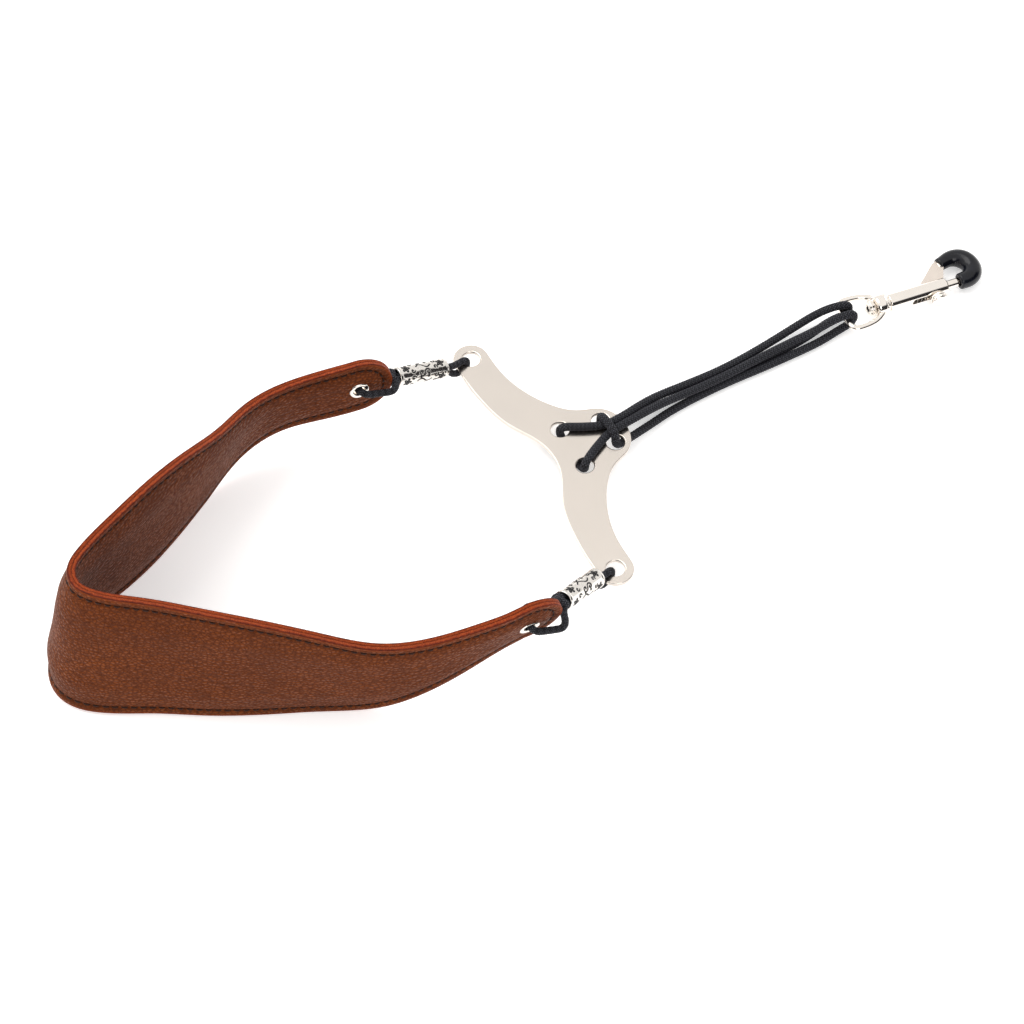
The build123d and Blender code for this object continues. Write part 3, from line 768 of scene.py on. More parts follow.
class PadSections:
    """Cross-sections of the pad from the left tip to the right one."""

    def __init__(self):
        plan = PAD_STATIONS[:, :2]
        knots = lengths_along(plan)
        first = unit((-1.0, 0.16))
        last = unit((1.0, -0.08))
        x = cubic_through(knots, plan[:, 0], first[0], last[0])
        y = cubic_through(knots, plan[:, 1], first[1], last[1])
        low, high, lean = (cubic_through(knots, PAD_STATIONS[:, k]) for k in (2, 3, 4))
        count = int(knots[-1] / SECTION_STEP)
        t = np.linspace(0, knots[-1], count)
        eps = 0.05
        inner_t = np.clip(t, eps, knots[-1] - eps)
        ahead, behind = inner_t + eps, inner_t - eps
        heading = np.stack([x(ahead) - x(behind), y(ahead) - y(behind), 0 * t], 1)
        heading /= np.linalg.norm(heading, axis=1)[:, None]
        inward = np.stack([-heading[:, 1], heading[:, 0], 0 * t], 1)
        lean_angle = np.radians(lean(t))
        lows = np.maximum(low(t), 0.0)
        highs = high(t)
        z_axis = np.array([0.0, 0.0, 1.0])
        self.centre = np.stack([x(t), y(t), (lows + highs) / 2], 1)
        self.across = inward * np.cos(lean_angle)[:, None] - z_axis * np.sin(lean_angle)[:, None]
        self.up = inward * np.sin(lean_angle)[:, None] + z_axis * np.cos(lean_angle)[:, None]
        self.half = (highs - lows) / 2 / np.cos(lean_angle)
        self.trim = np.abs(self.across[:, 2]) * PAD_HALF_T * smooth_step(1 - lows / 6.0)
        self.along = t
        self.tip_r = float(self.half[0])
        self.eyelets = (self.centre[0].copy(), self.centre[-1].copy())
        self.tip_across = (self.across[0].copy(), self.across[-1].copy())
        self.tip_heading = (-heading[0], heading[-1])
        self.tip_up = (self.up[0].copy(), self.up[-1].copy())
        self.add_tips()

    def add_tips(self):
        """The round ends: sections that shrink over a half disc about each eyelet."""
        body = len(self.centre)
        angles = np.radians(np.concatenate([np.arange(3.0, 80.0, 3.2), [83.0, 86.0, 88.3, 89.4]]))
        reach = self.tip_r * np.sin(angles)
        half = self.tip_r * np.cos(angles)
        near = self.eyelets[0] + self.tip_heading[0] * reach[::-1, None]
        far = self.eyelets[1] + self.tip_heading[1] * reach[:, None]
        zeros = np.zeros(len(angles))
        self.beyond = np.concatenate([reach[::-1], np.zeros(body), reach])
        self.centre = np.concatenate([near, self.centre, far])
        for name in ("across", "up"):
            value = getattr(self, name)
            start = np.repeat(value[:1], len(angles), 0)
            end = np.repeat(value[-1:], len(angles), 0)
            setattr(self, name, np.concatenate([start, value, end]))
        self.half = np.concatenate([half[::-1], self.half, half])
        self.trim = np.concatenate([zeros, self.trim, zeros])
        self.along = np.concatenate([-reach[::-1], self.along, self.along[-1] + reach])

    def edge_distance(self, y):
        """Distance from the pad's edge for points at height y (sections x heights)."""
        straight = np.minimum(self.half[:, None] - y, y + self.half[:, None] - self.trim[:, None])
        round_end = self.tip_r - np.sqrt(self.beyond[:, None] ** 2 + y**2)
        return np.where(self.beyond[:, None] > 0, round_end, straight)

    def face_height(self, y, edge, side):
        """Distance of a face from the middle surface: rolled edge, seam groove, padded swell."""
        girth = np.where(self.beyond > 0, self.tip_r, self.half)[:, None]
        wide = smooth_step((girth - 15.0) / 14.0)
        swell = 0.85 + 0.85 * wide
        reach = 5.5 + 7.0 * wide
        height = EDGE_HALF_T + swell * smooth_step((edge - 3.2) / reach) ** 0.8
        height = height - GROOVE_DEPTH * np.exp(-(((edge - SEAM_INSET) / 0.72) ** 2))
        height = height + GROOVE_RIDGE * np.exp(-(((edge - 1.6) / 0.9) ** 2))
        rounding = np.clip(edge / EDGE_ROUND, 0, 1)
        height = height - EDGE_ROUND * (1 - np.sqrt(np.clip(1 - (1 - rounding) ** 2, 0, 1)))
        seat = self.eyelet_distance(y)
        flat = smooth_step(1 - (seat - EYELET_FLANGE_R) / 2.5)
        height = height * (1 - flat) + (PAD_HALF_T + 0.12) * flat
        return height + self.lumps(y, side) * smooth_step((edge - 4.0) / 5.0) * (1 - flat)

    def eyelet_distance(self, y):
        last = self.along[-1] - self.tip_r
        shape = (len(self.along), 1)
        from_first = np.sqrt(self.along.reshape(shape) ** 2 + y**2)
        from_last = np.sqrt((self.along.reshape(shape) - last) ** 2 + y**2)
        return np.minimum(from_first, from_last)

    def lumps(self, y, side):
        """Slow unevenness of hand-made padding."""
        values = np.zeros(y.shape)
        for i, along in enumerate(self.along):
            for j in range(y.shape[1]):
                place = Vector((along / 19.0, y[i, j] / 13.0, 4.0 * side))
                values[i, j] = noise.noise(place)
        return values * 0.34

    def place(self, offset, y):
        """Points for offsets across the pad and heights up it."""
        return (
            self.centre[:, None, :]
            + self.across[:, None, :] * offset[:, :, None]
            + self.up[:, None, :] * y[:, :, None]
        )


def height_samples(sections):
    """Heights of the points of each section: close together at the edge and the seam."""
    edges = np.array(
        [0.0, 0.03, 0.12, 0.26, 0.42, 0.9, 1.6, 2.3, 2.75, 3.1, 3.4, 3.75, 4.05, 4.4, 4.9, 5.7, 6.8]
    )
    middle_count = 24
    rows = []
    for half, trim, beyond in zip(sections.half, sections.trim, sections.beyond):
        full = sections.tip_r if beyond > 0 else half
        lower = -full + trim + edges
        upper = full - edges[::-1]
        middle = np.linspace(lower[-1], upper[0], middle_count + 2)[1:-1]
        row = np.concatenate([lower, middle, upper])
        rows.append(row * (half / full))
    return np.array(rows)


def seam_lines(sections, side):
    """Closed line of the seam on one face, as points and outward directions."""
    body = np.nonzero(sections.beyond == 0)[0]
    step = max(1, len(body) // 220)
    chosen = body[::step]
    if chosen[-1] != body[-1]:
        chosen = np.append(chosen, body[-1])
    upper = sections.centre[chosen] + sections.up[chosen] * (sections.half[chosen] - SEAM_INSET)[:, None]
    lower_y = -sections.half[chosen] + sections.trim[chosen] + SEAM_INSET
    lower = sections.centre[chosen] + sections.up[chosen] * lower_y[:, None]
    arc_r = sections.tip_r - SEAM_INSET
    arcs = []
    for end in (0, 1):
        angles = np.radians(np.arange(80, -81, -10))
        out = sections.tip_heading[end]
        up = sections.tip_up[end]
        ring = np.cos(angles)[:, None] * out + np.sin(angles)[:, None] * up
        arcs.append(sections.eyelets[end] + arc_r * ring)
    line = np.concatenate([upper, arcs[1], lower[::-1], arcs[0][::-1]])
    far_across = np.repeat(sections.tip_across[1][None], len(arcs[1]), 0)
    near_across = np.repeat(sections.tip_across[0][None], len(arcs[0]), 0)
    out = np.concatenate([sections.across[chosen], far_across, sections.across[chosen][::-1], near_across])
    return line, out * side


def stitch_places(line, outward):
    """Middle, direction and outward direction of each stitch along a closed seam."""
    closed = np.concatenate([line, line[:1]])
    closed_out = np.concatenate([outward, outward[:1]])
    along = lengths_along(closed)
    count = int(round(along[-1] / STITCH_PITCH))
    pitch = along[-1] / count

    def at(position):
        wanted = np.mod(position, along[-1])
        out = values_at(wanted, along, closed_out)
        return values_at(wanted, along, closed), out / np.linalg.norm(out, axis=1)[:, None]

    middles = (np.arange(count) + 0.5) * pitch
    reach = np.linspace(-STITCH_HALF_LENGTH, STITCH_HALF_LENGTH, 7)
    dip = STITCH_DIP * (np.abs(reach) / STITCH_HALF_LENGTH) ** 3
    floor_level = EDGE_HALF_T - GROOVE_DEPTH + GROOVE_RIDGE
    stitches, holes = [], []
    for start in middles:
        points, out = at(start + reach)
        stitches.append(points + out * (floor_level + 0.16 - dip)[:, None])
        ends, end_out = at(np.array([start + pitch / 2]))
        holes.append(ends[0] + end_out[0] * floor_level)
    return stitches, np.array(holes)


def make_stitching(sections):
    """Lock stitches in the groove of both faces. Returns the places of the needle holes."""
    parts, holes = [], []
    radii = np.array([0.24, 0.34, 0.40, 0.42, 0.40, 0.34, 0.24])
    for side in (1, -1):
        line, out = seam_lines(sections, side)
        stitches, found = stitch_places(line, out)
        holes.append(found)
        parts += [capped_tube(stitch, radii, 8) for stitch in stitches]
    piece = mesh_object("seam_stitching", *joined(parts), [THREAD])
    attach(piece, "pad")
    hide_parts("pad_edge_stitching")
    return holes


def make_cover(name, node, side, sections, heights, holes):
    """One leather layer of the pad: padded face, rolled cut edge and flesh side, closed."""
    edge = sections.edge_distance(heights)
    face = sections.face_height(heights, edge, side)
    over_foam = smooth_step((edge - 4.4) / 0.7)
    flesh = 0.04 * (1 - over_foam) + np.maximum(1.26, face - 1.35) * over_foam
    rows, columns = heights.shape
    outer = sections.place(side * face, heights)
    inner = sections.place(side * flesh, heights)[:, ::-1]
    loops = np.concatenate([outer, inner], axis=1)
    loop = loops.shape[1]
    faces = capped_faces(rows, loop)
    if side < 0:
        faces = [f[::-1] for f in faces]
    points = loops.reshape(-1, 3)
    piece = mesh_object(name, points, faces, [LEATHER, RAW_EDGE])

    edge_all = np.concatenate([edge, edge[:, ::-1]], axis=1).ravel()
    offset = np.concatenate([face, flesh[:, ::-1]], axis=1).ravel()
    point_attribute(piece, "rim", np.clip(1 - edge_all / 1.5, 0, 1) * 0.85)
    # mask of the painted shade along the seam groove
    point_attribute(piece, "seam", np.exp(-(((edge_all - SEAM_INSET) / 0.55) ** 2)))
    point_attribute(piece, "layer", 0.5 + side * offset / (2 * EDGE_HALF_T))

    tree = kdtree.KDTree(len(holes))
    for i, place in enumerate(holes):
        tree.insert(place, i)
    tree.balance()
    mesh = piece.data
    across_all = np.repeat(sections.across, loop, axis=0)
    is_outer = np.tile(np.arange(loop) < columns, rows)
    near_seam = np.nonzero(is_outer & (np.abs(edge_all - SEAM_INSET) < 2.0))[0]
    for index in near_seam:
        _, _, distance = tree.find(points[index])
        sink = 0.30 * np.exp(-((distance / 0.75) ** 2))
        points[index] -= across_all[index] * side * sink
    mesh.vertices.foreach_set("co", (points * MM).astype(np.float32).ravel())
    for polygon in mesh.polygons:
        if is_raw_edge(polygon, loop, columns):
            polygon.material_index = 1
    open_eyelet_holes(piece, sections)
    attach(piece, "pad")
    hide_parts(node)


def is_raw_edge(polygon, loop, columns):
    """True for the strips between a face and its flesh side, and the first rows of their rounding."""
    places = [v % loop for v in polygon.vertices]
    if len(places) > 4:
        return True
    rounding = 3
    near_low = all(p <= rounding or p >= loop - 1 for p in places)
    near_high = all(columns - 1 - rounding <= p <= columns for p in places)
    return near_low or near_high


def open_eyelet_holes(piece, sections):
    """Opens the cover round each eyelet's barrel and closes the cut between face and flesh side."""
    hole_r = 2.75
    pad_near = 6.0
    mesh = bmesh.new()
    mesh.from_mesh(piece.data)
    for centre, across in zip(sections.eyelets, sections.tip_across):
        def is_inside(face):
            offset = np.array(face.calc_center_median()) / MM - centre
            depth = offset @ across
            return abs(depth) < pad_near and float(np.linalg.norm(offset - across * depth)) < hole_r

        inside = [f for f in mesh.faces if is_inside(f)]
        bmesh.ops.delete(mesh, geom=inside, context="FACES")
        rim = [e for e in mesh.edges if e.is_boundary]
        bmesh.ops.bridge_loops(mesh, edges=rim)
        for vert in {v for e in rim for v in e.verts}:
            offset = np.array(vert.co) / MM - centre
            depth = across * (offset @ across)
            flat = offset - depth
            vert.co = (centre + depth + flat * (hole_r / np.linalg.norm(flat))) * MM
    mesh.to_mesh(piece.data)
    mesh.free()
    piece.data.update()


def make_pad():
    sections = PadSections()
    heights = height_samples(sections)
    holes = make_stitching(sections)
    make_cover("pad_inner_cover", "pad_inner_leather", 1, sections, heights, holes[0])
    make_cover("pad_outer_cover", "pad_outer_leather", -1, sections, heights, holes[1])
    finish_node("pad_foam_core", FOAM)
    return sections


PAD = make_pad()


def make_eyelets(sections):
    """Nickel eyelets with a rolled flange on the inner face and a set lip over the washer."""
    front = PAD_HALF_T + 0.16
    back = -(PAD_HALF_T + 0.45)
    profile = [
        (front, 4.0), (front + 0.34, 3.75), (front + 0.52, 3.2), (front + 0.38, 2.62), (front - 0.1, 2.3),
        (back + 0.3, 2.3), (back - 0.15, 2.5), (back - 0.22, 2.95), (back, 3.25), (back + 0.1, 3.1),
        (back + 0.12, 2.8), (back + 0.3, 2.56), (front - 0.05, 2.56), (front - 0.02, 3.4),
    ]
    for side, centre, across in zip(("left", "right"), sections.eyelets, sections.tip_across):
        made = turned_ring(softened(profile, 0.12), origin=centre, direction=across)
        piece = mesh_object(f"eyelet_ring_{side}", *made, [NICKEL])
        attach(piece, "pad")
        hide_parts(f"eyelet_{side}")
        finish_node(f"eyelet_washer_{side}", NICKEL)


make_eyelets(PAD)

# ---- Tie cords, their knots and the engraved sleeves ----
SLEEVES = {
    "left": ((-34.8, 61.4, 23.4), (-12.7, 62.6, 14.2)),
    "right": ((-29.4, -63.1, 24.3), (-9.6, -54.4, 14.1)),
}
SLEEVE_R = 4.0
SLEEVE_BORE_R = 3.15
SLEEVE_LENGTH = 24.0
END_HOLES = {"left": (1.0, 65.0), "right": (1.0, -51.0)}


def sleeve_axes(side):
    start = np.array(SLEEVES[side][0])
    along = unit(np.array(SLEEVES[side][1]) - start)
    across = unit(np.cross((0, 0, 1), along))
    return start, along, across, np.cross(along, across)


def tie_route(side, centre, across, tip):
    """Knot, out through the eyelet and back, through the sleeve, round the plate's rim and back."""
    start, along, sideways, up = sleeve_axes(side)
    inner = -1 if side == "left" else 1
    hole = np.array([*END_HOLES[side], 0.0])
    end = np.array(SLEEVES[side][1])
    rim = unit((hole[0] - end[0], hole[1] - end[1], 0))
    flank = 5.05
    tip_reach = 13.2 if inner < 0 else 14.5
    fall = centre[2] - start[2]

    def by_pad(reach, lateral, drop):
        return centre + tip * reach + across * lateral - np.array([0, 0, drop])

    def in_sleeve(reach, side_shift, up_shift):
        return start + along * reach + sideways * (side_shift * inner) + up * up_shift

    def at_rim(radius, height):
        return hole - rim * radius + np.array([0, 0, height])

    return [
        in_sleeve(-1.2, 1.6, 1.0), by_pad(14.8, flank + 0.5, 0.5 * fall),
        by_pad(7.0, flank + 0.5, 0.2 * fall), by_pad(0.0, flank, 0.0), by_pad(0.0, -flank, 0.0),
        by_pad(7.0, -flank - 0.3, 0.28 * fall), by_pad(tip_reach, -flank, 0.62 * fall),
        in_sleeve(-1.7, -1.02, -0.9), in_sleeve(8.0, -1.08, -1.02), in_sleeve(16.0, -1.1, -1.0),
        in_sleeve(SLEEVE_LENGTH + 1.6, -1.04, -0.98), at_rim(9.0, 5.2),
        at_rim(2.15, 5.0), at_rim(2.15, 10.8), at_rim(7.6, 11.05), in_sleeve(SLEEVE_LENGTH + 0.4, 1.08, 1.02),
        in_sleeve(16.0, 1.1, 1.0), in_sleeve(8.0, 1.08, 1.02), in_sleeve(-0.3, 1.1, 1.0),
    ]


def make_ties(sections):
    for end, side in enumerate(("left", "right")):
        route = tie_route(side, sections.eyelets[end], sections.tip_across[end], sections.tip_heading[end])
        line = cord_line(route)
        cord = braided_object(f"tie_{side}", [braid(line, TIE_D, lay=8.0)])
        start, along, _, _ = sleeve_axes(side)
        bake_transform(cord)
        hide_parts(f"tie_cord_{side}")
        knot_centre = start - along * 2.1
        loops = closed_braid(knot_line(knot_centre, along, 2.75, 0.75, turn=0.9), 2.5)
        knot = braided_object(f"tie_knot_braid_{side}", [loops])
        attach(knot, "ties")
        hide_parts(f"tie_knot_{side}")


make_ties(PAD)


def polar(centre, angle, radius):
    """Points at angles and radii about a centre."""
    return np.stack([centre[0] + radius * np.cos(angle), centre[1] + radius * np.sin(angle)], 1)


def spiral(centre, start_angle, turns, size, hand):
    """Points of a scroll that winds in from size to its eye."""
    t = np.linspace(0, 1, 60)
    return polar(centre, start_angle + hand * turns * 2 * pi * t, size * (1 - 0.88 * t))


def engraving_points():
    """Drawing of the sleeve's ornament, unrolled: along the sleeve, then round it (millimetres)."""
    girth = 2 * pi * SLEEVE_R
    middle = SLEEVE_LENGTH / 2
    repeats = 4
    angles = np.linspace(0, 2 * pi, 120)
    dots = np.linspace(0, 2 * pi, 20)
    stem = np.linspace(-1, 1, 60)
    strokes = []
    for k in range(repeats):
        base = k * girth / repeats
        for along, hand in ((3.6, 1), (SLEEVE_LENGTH - 3.6, -1)):
            strokes.append(polar((along, base), angles, 1.15 + 0.62 * np.cos(5 * angles)))
            strokes.append(polar((along, base), angles, 0.34))
            for rise in (1, -1):
                eye = (along + 2.9 * hand, base + 1.6 * rise)
                strokes.append(spiral(eye, 0.4 * rise, 0.85, 1.05, hand * rise))
        for shift, start_angle in ((-1.5, 0.0), (1.5, pi)):
            strokes.append(spiral((middle + shift, base + 3.1), start_angle, 1.1, 1.5, 1))
        strokes.append(np.stack([middle + 3.4 * stem, base + 0.9 * np.sin(pi * stem)], 1))
        for shift in (-1.9, 1.9):
            strokes.append(polar((middle + shift, base - 1.7), dots, 0.3))
    return np.concatenate(strokes)


def engraving_depth(along, around):
    """How deep each point of the sleeve is engraved, 0 to 1."""
    girth = 2 * pi * SLEEVE_R
    drawing = engraving_points()
    tree = kdtree.KDTree(3 * len(drawing))
    index = 0
    for shift in (-girth, 0.0, girth):
        for x, y in drawing:
            tree.insert((x, y + shift, 0.0), index)
            index += 1
    tree.balance()
    depth = np.zeros(len(along))
    line_width = 0.30
    for i, (x, y) in enumerate(zip(along, around)):
        distance = tree.find((x, y, 0.0))[2]
        depth[i] = np.exp(-((distance / line_width) ** 2))
    return depth


def make_sleeves():
    around_count = 180
    length_count = 190
    inset = 0.25
    x = np.linspace(inset, SLEEVE_LENGTH - inset, length_count)
    angles = np.arange(around_count) * 2 * pi / around_count
    grid_x = np.repeat(x, around_count)
    grid_angle = np.tile(angles, length_count)
    depth = engraving_depth(grid_x, grid_angle * SLEEVE_R)
    bead = np.exp(-(((grid_x - 1.0) / 0.35) ** 2)) + np.exp(-(((grid_x - SLEEVE_LENGTH + 1.0) / 0.35) ** 2))
    radius = SLEEVE_R - 0.20 * depth + 0.12 * bead
    outer = np.stack([grid_x, radius * np.cos(grid_angle), radius * np.sin(grid_angle)], 1)
    closing = [
        (SLEEVE_LENGTH - 0.08, SLEEVE_R - 0.08), (SLEEVE_LENGTH, SLEEVE_R - 0.25),
        (SLEEVE_LENGTH, SLEEVE_BORE_R + 0.2), (SLEEVE_LENGTH - 0.2, SLEEVE_BORE_R),
        (0.2, SLEEVE_BORE_R), (0.0, SLEEVE_BORE_R + 0.2), (0.0, SLEEVE_R - 0.25), (0.08, SLEEVE_R - 0.08),
    ]
    points = np.concatenate([outer, lathe_points(closing, around_count)])
    faces = grid_faces(length_count + len(closing), around_count, closed_rows=True, closed_columns=True)
    ink = np.concatenate([depth, np.zeros(len(closing) * around_count)])
    for side in ("left", "right"):
        start, along, _, _ = sleeve_axes(side)
        placed = moved(points, axis_matrix(start, along))
        piece = mesh_object(f"engraved_sleeve_{side}", placed, faces, [ENGRAVED])
        point_attribute(piece, "engraving", ink)
        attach(piece, f"{side}_sleeve")
        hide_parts(f"sleeve_{side}")


make_sleeves()

# ---- Snap hook, in the hook's own frame: local +X along its axis from the bow's bar ----
HUB_START = 13.4
HUB_END = 18.6
TUBE_START = 19.6
TUBE_END = 46.0
TUBE_R = 3.6
BORE_R = 2.0
KNOB_U = 40.2
BOLT_TRAVEL = 9.5
SLOT_R = 1.4
WEB_HALF_T = 1.2


def hook_piece(name, parts, material, body, node):
    """One finished piece of the hook, made in its own frame and placed on the strap."""
    points, faces = joined(parts)
    piece = mesh_object(name, moved(points, HOOK), faces, [material], sharp_angle=40)
    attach(piece, body)
    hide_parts(node)
    return piece


def make_bow():
    """Oval wire bow let into a turned hub."""
    control = [
        (15.9, 3.2, 0), (12.9, 6.3, 0), (7.0, 7.7, 0), (0.0, 7.6, 0), (0.0, 0.0, 0),
        (0.0, -7.6, 0), (7.0, -7.7, 0), (12.9, -6.3, 0), (15.9, -3.2, 0),
    ]
    wire_line = even_line(cord_line(control, 40), 0.35)
    along = np.linspace(-1, 1, len(wire_line))
    radii = 1.28 + 0.22 * smooth_step((np.abs(along) - 0.72) / 0.28)
    hub = softened([
        (HUB_START, 2.1), (HUB_START, 4.1), (HUB_START + 0.9, 4.65), (HUB_END - 1.5, 4.75),
        (HUB_END - 1.1, 4.45), (HUB_END - 0.75, 4.75), (HUB_END, 4.4), (HUB_END, 2.1),
    ], 0.35)
    parts = [capped_tube(wire_line, radii, 40), turned_ring(hub)]
    hook_piece("bow_and_hub", parts, NICKEL, "bow", "swivel_bow")


def make_rivet():
    """Peened head with a scalloped rim, holding the stem in the hub."""
    def scallops(angle, radius):
        return 1.0 + 0.055 * cos(10 * angle) * (1.0 if radius > 2.8 else 0.0)

    rear = HUB_START - 3.2
    head = softened([
        (rear - 0.8, 0.05), (rear - 0.75, 1.2), (rear - 0.25, 2.3), (rear + 0.4, 2.9), (rear + 0.9, 3.35),
        (rear + 2.3, 3.4), (rear + 2.6, 2.7), (rear + 3.05, 2.6), (rear + 3.05, 2.02), (rear + 0.7, 2.02),
        (rear + 0.7, 0.05),
    ], 0.25)
    made = turned_ring(head, 120, scallops)
    hook_piece("scalloped_rivet", [made], NICKEL, "hook", "swivel_rivet")


def outline_solid(outline, half_t, bevel=0.28):
    """A flat plate with rounded rims between two offsets of one outline."""
    outline = np.array(outline, float)
    ahead = np.roll(outline, -1, axis=0) - np.roll(outline, 1, axis=0)
    inward = np.stack([-ahead[:, 1], ahead[:, 0]], 1)
    inward /= np.linalg.norm(inward, axis=1)[:, None]
    levels = [(-half_t, bevel), (-half_t + 0.3 * bevel, 0.3 * bevel), (-half_t + bevel, 0.0)]
    levels += [(-w, inset) for w, inset in levels[::-1]]
    points = [np.column_stack([outline + inward * inset, np.full(len(outline), w)]) for w, inset in levels]
    return np.concatenate(points), capped_faces(len(levels), len(outline))


def make_casting():
    """Barrel with the bolt's slot, stem, web and the hook's core, cut from joined shells."""
    barrel = softened([
        (TUBE_START, 2.9), (TUBE_START, 3.35), (TUBE_START + 0.4, TUBE_R), (TUBE_END - 0.5, TUBE_R),
        (TUBE_END, TUBE_R - 0.45), (TUBE_END, BORE_R), (24.0, BORE_R), (24.0, 0.05), (10.9, 0.05),
        (10.9, 2.0), (HUB_END + 0.2, 2.0), (HUB_END + 0.2, 2.9),
    ], 0.12)
    tube = mesh_object("barrel_blank", *turned_ring(barrel, 128), [NICKEL], sharp_angle=40)
    angles = np.linspace(-pi / 2, pi / 2, 17)
    slot_front = np.column_stack([KNOB_U + 0.05 + SLOT_R * np.cos(angles), SLOT_R * np.sin(angles)])
    slot_rear_u = KNOB_U - BOLT_TRAVEL - 0.1
    slot_rear = np.column_stack([slot_rear_u - SLOT_R * np.cos(angles), -SLOT_R * np.sin(angles)])
    slot = np.concatenate([slot_front, slot_rear])
    rings = [np.column_stack([slot[:, 0], np.full(len(slot), v), slot[:, 1]]) for v in (-1.0, -6.0)]
    cutter = mesh_object("slot_cutter", np.concatenate(rings), capped_faces(2, len(slot)))
    cut_away(tube, cutter)
    barrel_points = np.array([v.co for v in tube.data.vertices]) / MM
    barrel_faces = [tuple(p.vertices) for p in tube.data.polygons]
    bpy.data.objects.remove(tube)
    corners = softened([
        (35.6, 3.0), (45.4, 11.4), (47.2, 12.4), (49.4, 12.6), (49.5, 9.6), (47.9, 6.9), (46.0, 3.0),
    ], 1.1, steps=6)
    web = outline_solid(corners, WEB_HALF_T)
    core = rounded_path([(47.6, 10.3, 0), (59.4, 12.2, 0), (61.0, 0, 0), (53.4, 0, 0)], [5.6, 5.4])
    parts = [(barrel_points, barrel_faces), web, capped_tube(even_line(core, 0.5), 1.7, 32)]
    casting = hook_piece("hook_casting", parts, NICKEL, "hook", "hook_body")
    casting.data.materials.append(NICKEL_SATIN)
    first = len(barrel_faces)
    for polygon in casting.data.polygons[first: first + len(web[1])]:
        polygon.material_index = 1


def make_coating():
    """Dipped rubber: thickest round the bend, thinner towards the web, with a socket for the bolt."""
    path = even_line(rounded_path(
        [(47.8, 10.9, 0), (53.0, 12.4, 0), (59.9, 12.5, 0), (61.2, 0.6, 0), (52.0, 0, 0)], [8.0, 6.2, 5.6]
    ), 0.28)
    along = np.linspace(0, 1, len(path))
    radii = 2.8 + 1.15 * smooth_step(along / 0.45) - 0.55 * smooth_step((along - 0.70) / 0.30)
    start_cap = np.sqrt(np.clip(1 - (1 - np.clip(along / 0.035, 0, 1)) ** 2, 0, 1))
    end_cap = np.sqrt(np.clip(1 - (1 - np.clip((1 - along) / 0.03, 0, 1)) ** 2, 0, 1))
    radii = radii * (0.72 + 0.28 * start_cap) * (0.70 + 0.30 * end_cap)
    segments = 48
    skin = tube_points(path, radii, segments)
    outward = skin[-segments:] - path[-1]
    mouth = path[-1] + outward / np.linalg.norm(outward, axis=1)[:, None] * 2.02
    socket = [mouth + np.array([depth, 0, 0]) for depth in np.linspace(0, 2.2, 6)]
    points = np.concatenate([skin] + socket)
    faces = capped_faces(len(path) + len(socket), segments)
    hook_piece("dipped_coating", [(points, faces)], COATING, "hook", "hook_coating")


def make_bolt():
    rod = softened([
        (37.0, 0.05), (37.0, 1.65), (37.3, 1.92), (50.9, 1.92), (51.7, 1.45), (51.85, 0.9), (51.85, 0.05),
    ], 0.15)
    hook_piece("closing_bolt", [turned_ring(rod, 64)], NICKEL, "bolt", "bolt_rod")

    def knurl(angle, radius):
        return 1.0 + 0.022 * cos(26 * angle) * (1.0 if radius > 3.15 else 0.0)

    button = softened([
        (-0.9, 0.05), (-0.9, 1.2), (3.85, 1.2), (4.0, 2.9), (4.25, 3.35), (4.9, 3.35), (5.15, 3.05),
        (5.4, 3.05), (5.65, 3.35), (6.35, 3.35), (6.85, 2.85), (7.1, 1.6), (7.15, 0.05),
    ], 0.16)
    made = turned_ring(button, 156, knurl, origin=(KNOB_U, 0, 0), direction=(0, -1, 0))
    hook_piece("knob_and_stud", [made], NICKEL, "bolt", "thumb_knob")


make_bow()
make_rivet()
make_casting()
make_coating()
make_bolt()
finish_node("bolt_spring", SPRING_STEEL)
finish_node("yoke_plate", NICKEL_PLATE)

# ---- Studio ----


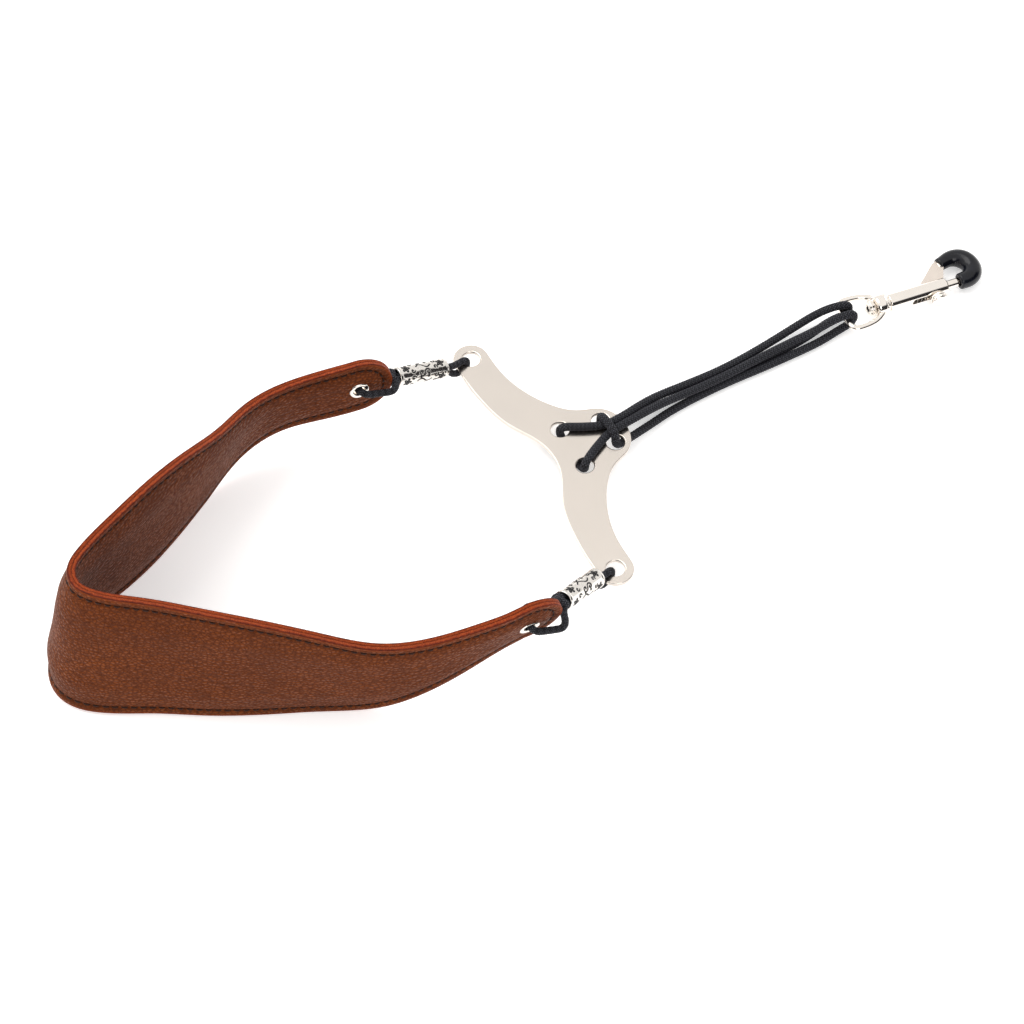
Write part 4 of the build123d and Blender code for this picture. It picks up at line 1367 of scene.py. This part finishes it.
def make_world():
    """White studio for the camera; for reflections a pale sky with a dark side towards -Y."""
    world = bpy.data.worlds.new("studio")
    bpy.context.scene.world = world
    world.use_nodes = True
    world.node_tree.nodes.clear()
    kit = NodeKit(world.node_tree)
    split = kit.add("SeparateXYZ", kit.add("TexCoord").outputs["Generated"])
    low = kit.grey_ramp(split.outputs["Z"], [(0.0, 0.0), (0.02, 1.0), (0.60, 1.0), (0.70, 0.0)])
    heading = kit.maths("ARCTAN2", split.outputs["Y"], split.outputs["X"])
    around = kit.maths("DIVIDE", kit.maths("ADD", heading, pi), 2 * pi)
    side = kit.grey_ramp(around, [(0.02, 0.0), (0.08, 1.0), (0.44, 1.0), (0.475, 0.0)])
    dark = kit.maths("MULTIPLY", low, side)
    tone = kit.mix(dark, (1.0, 0.985, 0.97), (0.035, 0.033, 0.035))
    reflected = kit.add("Background", Color=tone, Strength=1.05)
    seen = kit.add("Background", Color=(1, 1, 1))
    camera_ray = kit.add("LightPath").outputs["Is Camera Ray"]
    chosen = kit.add("MixShader", camera_ray, reflected.outputs[0], seen.outputs[0])
    kit.add("OutputWorld", chosen.outputs[0])


def make_lights():
    """A wide soft key from above and behind, and a weak soft fill from the front."""
    for name, place, size, power in (
        ("key", (-0.5, 0.9, 1.7), 1.6, 20.0),
        ("fill", (-0.3, -1.5, 1.0), 0.9, 9.0),
    ):
        data = bpy.data.lights.new(name, "AREA")
        data.size = size
        data.energy = power
        data.color = (1.0, 0.98, 0.955)
        aim(add_object(name, data), place, -Vector(place))


def make_floor():
    half = 8.0
    corners = [(-half, -half, 0), (half, -half, 0), (half, half, 0), (-half, half, 0)]
    mesh = bpy.data.meshes.new("studio_floor")
    mesh.from_pydata(corners, [], [(0, 1, 2, 3)])
    s = Shader("white_sweep")
    base = s.ramp(s.noise(40.0, 2.0), [(0.3, (0.90, 0.90, 0.905)), (0.7, (0.92, 0.92, 0.925))])
    white = (1.0, 1.0, 1.0)
    mesh.materials.append(s.finished(base=base, roughness=0.9, specular=0.1, glow=white, glow_strength=0.42))
    floor = add_object("studio_floor", mesh)
    floor.location.z = -0.0006


make_world()
make_lights()
make_floor()
bpy.context.scene.view_settings.view_transform = "Standard"
